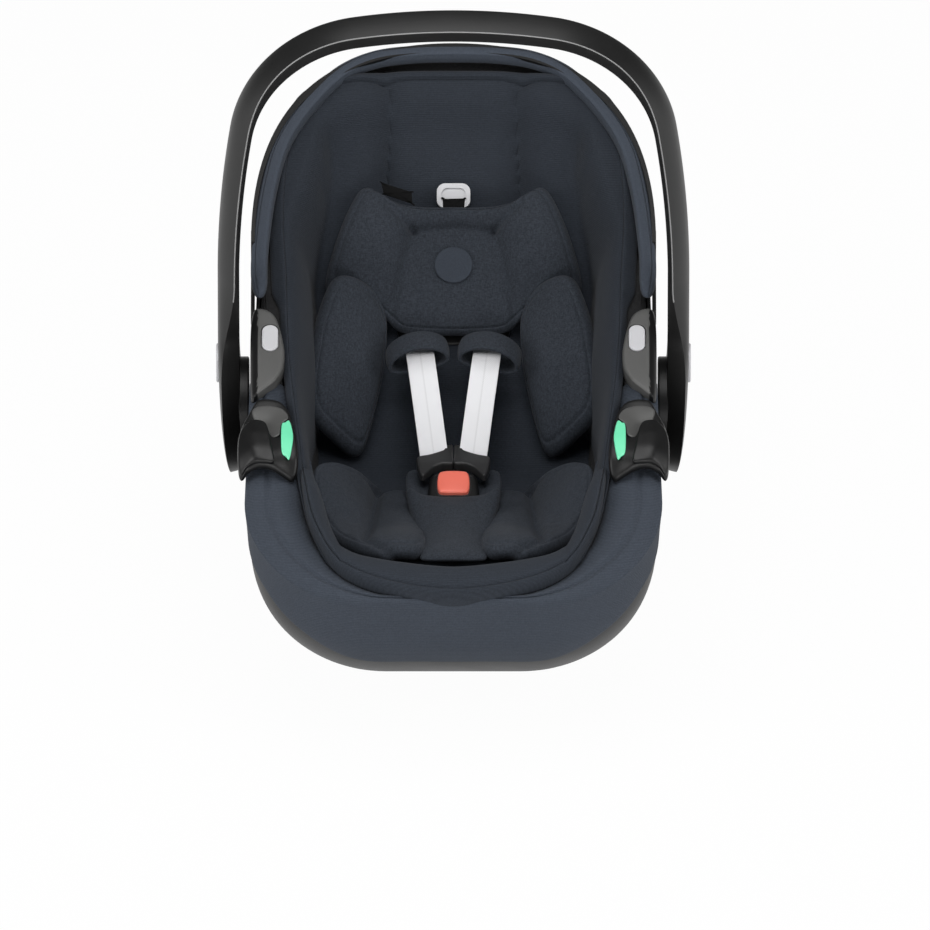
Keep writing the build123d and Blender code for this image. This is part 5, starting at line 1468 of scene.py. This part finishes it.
class CARSEAT_OT_side_trims(SeatStep):
    """Satin side trims round the release buttons, with their outer side painted black as shade"""

    bl_idname = "carseat.side_trims"
    bl_label = "Side trims"

    def build(self, sizes, context):
        for side, sign in SIDES:
            def place(x, t, w):
                x, w = np.asarray(x, float), np.asarray(w, float)
                return rim(x, t, w + 1.5 - 7 * smooth(x, 178, 190) ** 1.5 * (w > 5)) * np.array((sign, 1, 1))

            grid = plate_grid(place, TRIM_EDGE, -1.2, 13.2, 2.5, 160, heart=(172, -40))
            plate = skin(f"trim_plate_{side}", grid, round_v=True, sharp=35)
            cut_out(plate, slot_tool(place, (169.0, -29.0), 8.4, 16.4, 1.0, 20.0))
            dress(plate, "trim_plastic", "seat", (f"side_trim_{side}",))
            # Faces on the outer side get the black plastic: painted shade, not a black part
            plate.data.materials.append(finish("black_plastic"))
            dark = np.abs([face.center[0] for face in plate.data.polygons]) > PAINTED_SHADE_FROM
            plate.data.polygons.foreach_set("material_index", dark.astype(int))


GUIDE_EDGE = (
    (182, -103), (176, -99.5), (167, -99.5), (158, -104), (151, -117), (147, -136), (143.5, -158), (142.5, -174),
    (144, -187), (148, -193), (156, -191.5), (168, -188.5), (180, -187.5), (189, -189), (195, -193), (197.8, -184),
    (197.6, -158), (195, -138), (189, -120),
)
GUIDE_CROWN = (
    (170, -103, 12.5), (158, -108, 13), (182, -108, 13), (150, -130, 17), (145, -160, 20), (145, -178, 18),
    (149, -190, 11), (165, -185, 22), (180, -185, 23), (193, -190, 13), (196, -170, 20), (194, -140, 18),
    (170, -125, 12), (160, -140, 16), (160, -165, 22),
)
TAB_EDGE = (
    (187, -131), (180, -130), (173, -135), (169.4, -150), (167, -168), (164.5, -185), (172, -186.5), (183, -186),
    (190, -187.5), (195, -191.5), (198, -182), (198, -158), (194.5, -142),
)
TAB_CROWN = (
    (184, -134, 20), (174, -139, 22), (183, -150, 26), (172, -160, 27), (186, -172, 28), (170, -180, 27),
    (184, -183, 26), (194, -187, 16), (196, -165, 22),
)
RECESS_EDGE = (
    (185, -116), (178, -110), (166, -110), (156, -116), (152, -128), (158, -136), (160, -150), (167, -152),
    (172, -140), (182, -130),
)
RECESS_CROWN = (
    (183, -118, 14.5), (170, -112, 13.6), (156, -120, 16), (155, -130, 18.4), (163, -150, 20.4), (172, -132, 14.5),
)
MARKER_EDGE = (
    (158, -139), (154.5, -134), (151, -131.5), (148.3, -143), (147.4, -157), (150.5, -180), (154, -178),
    (158, -171),
)
MARKER_CROWN = ((156, -136, 20.0), (149, -145, 20.5), (157, -168, 23.2), (150, -176, 22.4), (153, -156, 22.4))


class CARSEAT_OT_belt_guides(SeatStep):
    """Belt guides on the rim: black frame, satin recess, outer tab and green marker"""

    bl_idname = "carseat.belt_guides"
    bl_label = "Belt guides"

    def build(self, sizes, context):
        for side, sign in SIDES:
            def place(x, t, w):
                return rim(x, t, w) * np.array((sign, 1, 1))

            def lid(name, outline, crown, thick, look, nodes=(), heart=None):
                grid = pad_grid(place, outline, crown, thick, rows=34, turns=180, roundness=26.0, heart=heart)
                make(f"{name}_{side}", grid, 50, look, "seat", nodes)

            frame_nodes, marker_nodes = (f"belt_guide_{side}",), (f"belt_marker_{side}",)
            lid("guide_frame", GUIDE_EDGE, GUIDE_CROWN, 9.0, "black_plastic", frame_nodes, (168, -150))
            lid("guide_recess", RECESS_EDGE, RECESS_CROWN, 2.0, "trim_plastic", (), (166, -128))
            lid("guide_tab", TAB_EDGE, TAB_CROWN, 6.0, "black_plastic", (), (183, -165))
            lid("marker_face", MARKER_EDGE, MARKER_CROWN, 2.4, "marker_green", marker_nodes)


CLASSES = (
    CarSeatColours, CarSeatSizes, CARSEAT_OT_stage, CARSEAT_OT_frame, CARSEAT_OT_lining, CARSEAT_OT_foot_ring,
    CARSEAT_OT_skirt, CARSEAT_OT_shell, CARSEAT_OT_pillow, CARSEAT_OT_pull_ring, CARSEAT_OT_bolsters,
    CARSEAT_OT_leg_pads, CARSEAT_OT_crotch_pad, CARSEAT_OT_buckle, CARSEAT_OT_harness, CARSEAT_OT_handle,
    CARSEAT_OT_canopy, CARSEAT_OT_side_trims, CARSEAT_OT_belt_guides,
)
STEPS = [made for made in CLASSES if issubclass(made, bpy.types.Operator)]


class CARSEAT_PT_panel(bpy.types.Panel):
    """Steps, sizes and colours of the car seat"""

    bl_idname = "CARSEAT_PT_panel"
    bl_label = "Infant Car Seat"
    bl_space_type = "VIEW_3D"
    bl_region_type = "UI"
    bl_category = "Car Seat"

    def draw(self, context):
        for step in STEPS:
            self.layout.operator(step.bl_idname)
        for holder in (context.scene.car_seat_sizes, context.scene.car_seat_colours):
            for key in holder.__annotations__:
                self.layout.prop(holder, key)


def register():
    """Registers the classes, and the colours and sizes on the scene."""
    for made in (*CLASSES, CARSEAT_PT_panel):
        bpy.utils.register_class(made)
    bpy.types.Scene.car_seat_colours = PointerProperty(type=CarSeatColours)
    bpy.types.Scene.car_seat_sizes = PointerProperty(type=CarSeatSizes)


def unregister():
    """Takes back what register did."""
    del bpy.types.Scene.car_seat_sizes
    del bpy.types.Scene.car_seat_colours
    for made in reversed((*CLASSES, CARSEAT_PT_panel)):
        bpy.utils.unregister_class(made)


def main():
    """Registers the add-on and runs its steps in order."""
    register()
    for step in STEPS:
        family, name = step.bl_idname.split(".")
        getattr(getattr(bpy.ops, family), name)()


if __name__ == "__main__":
    main()
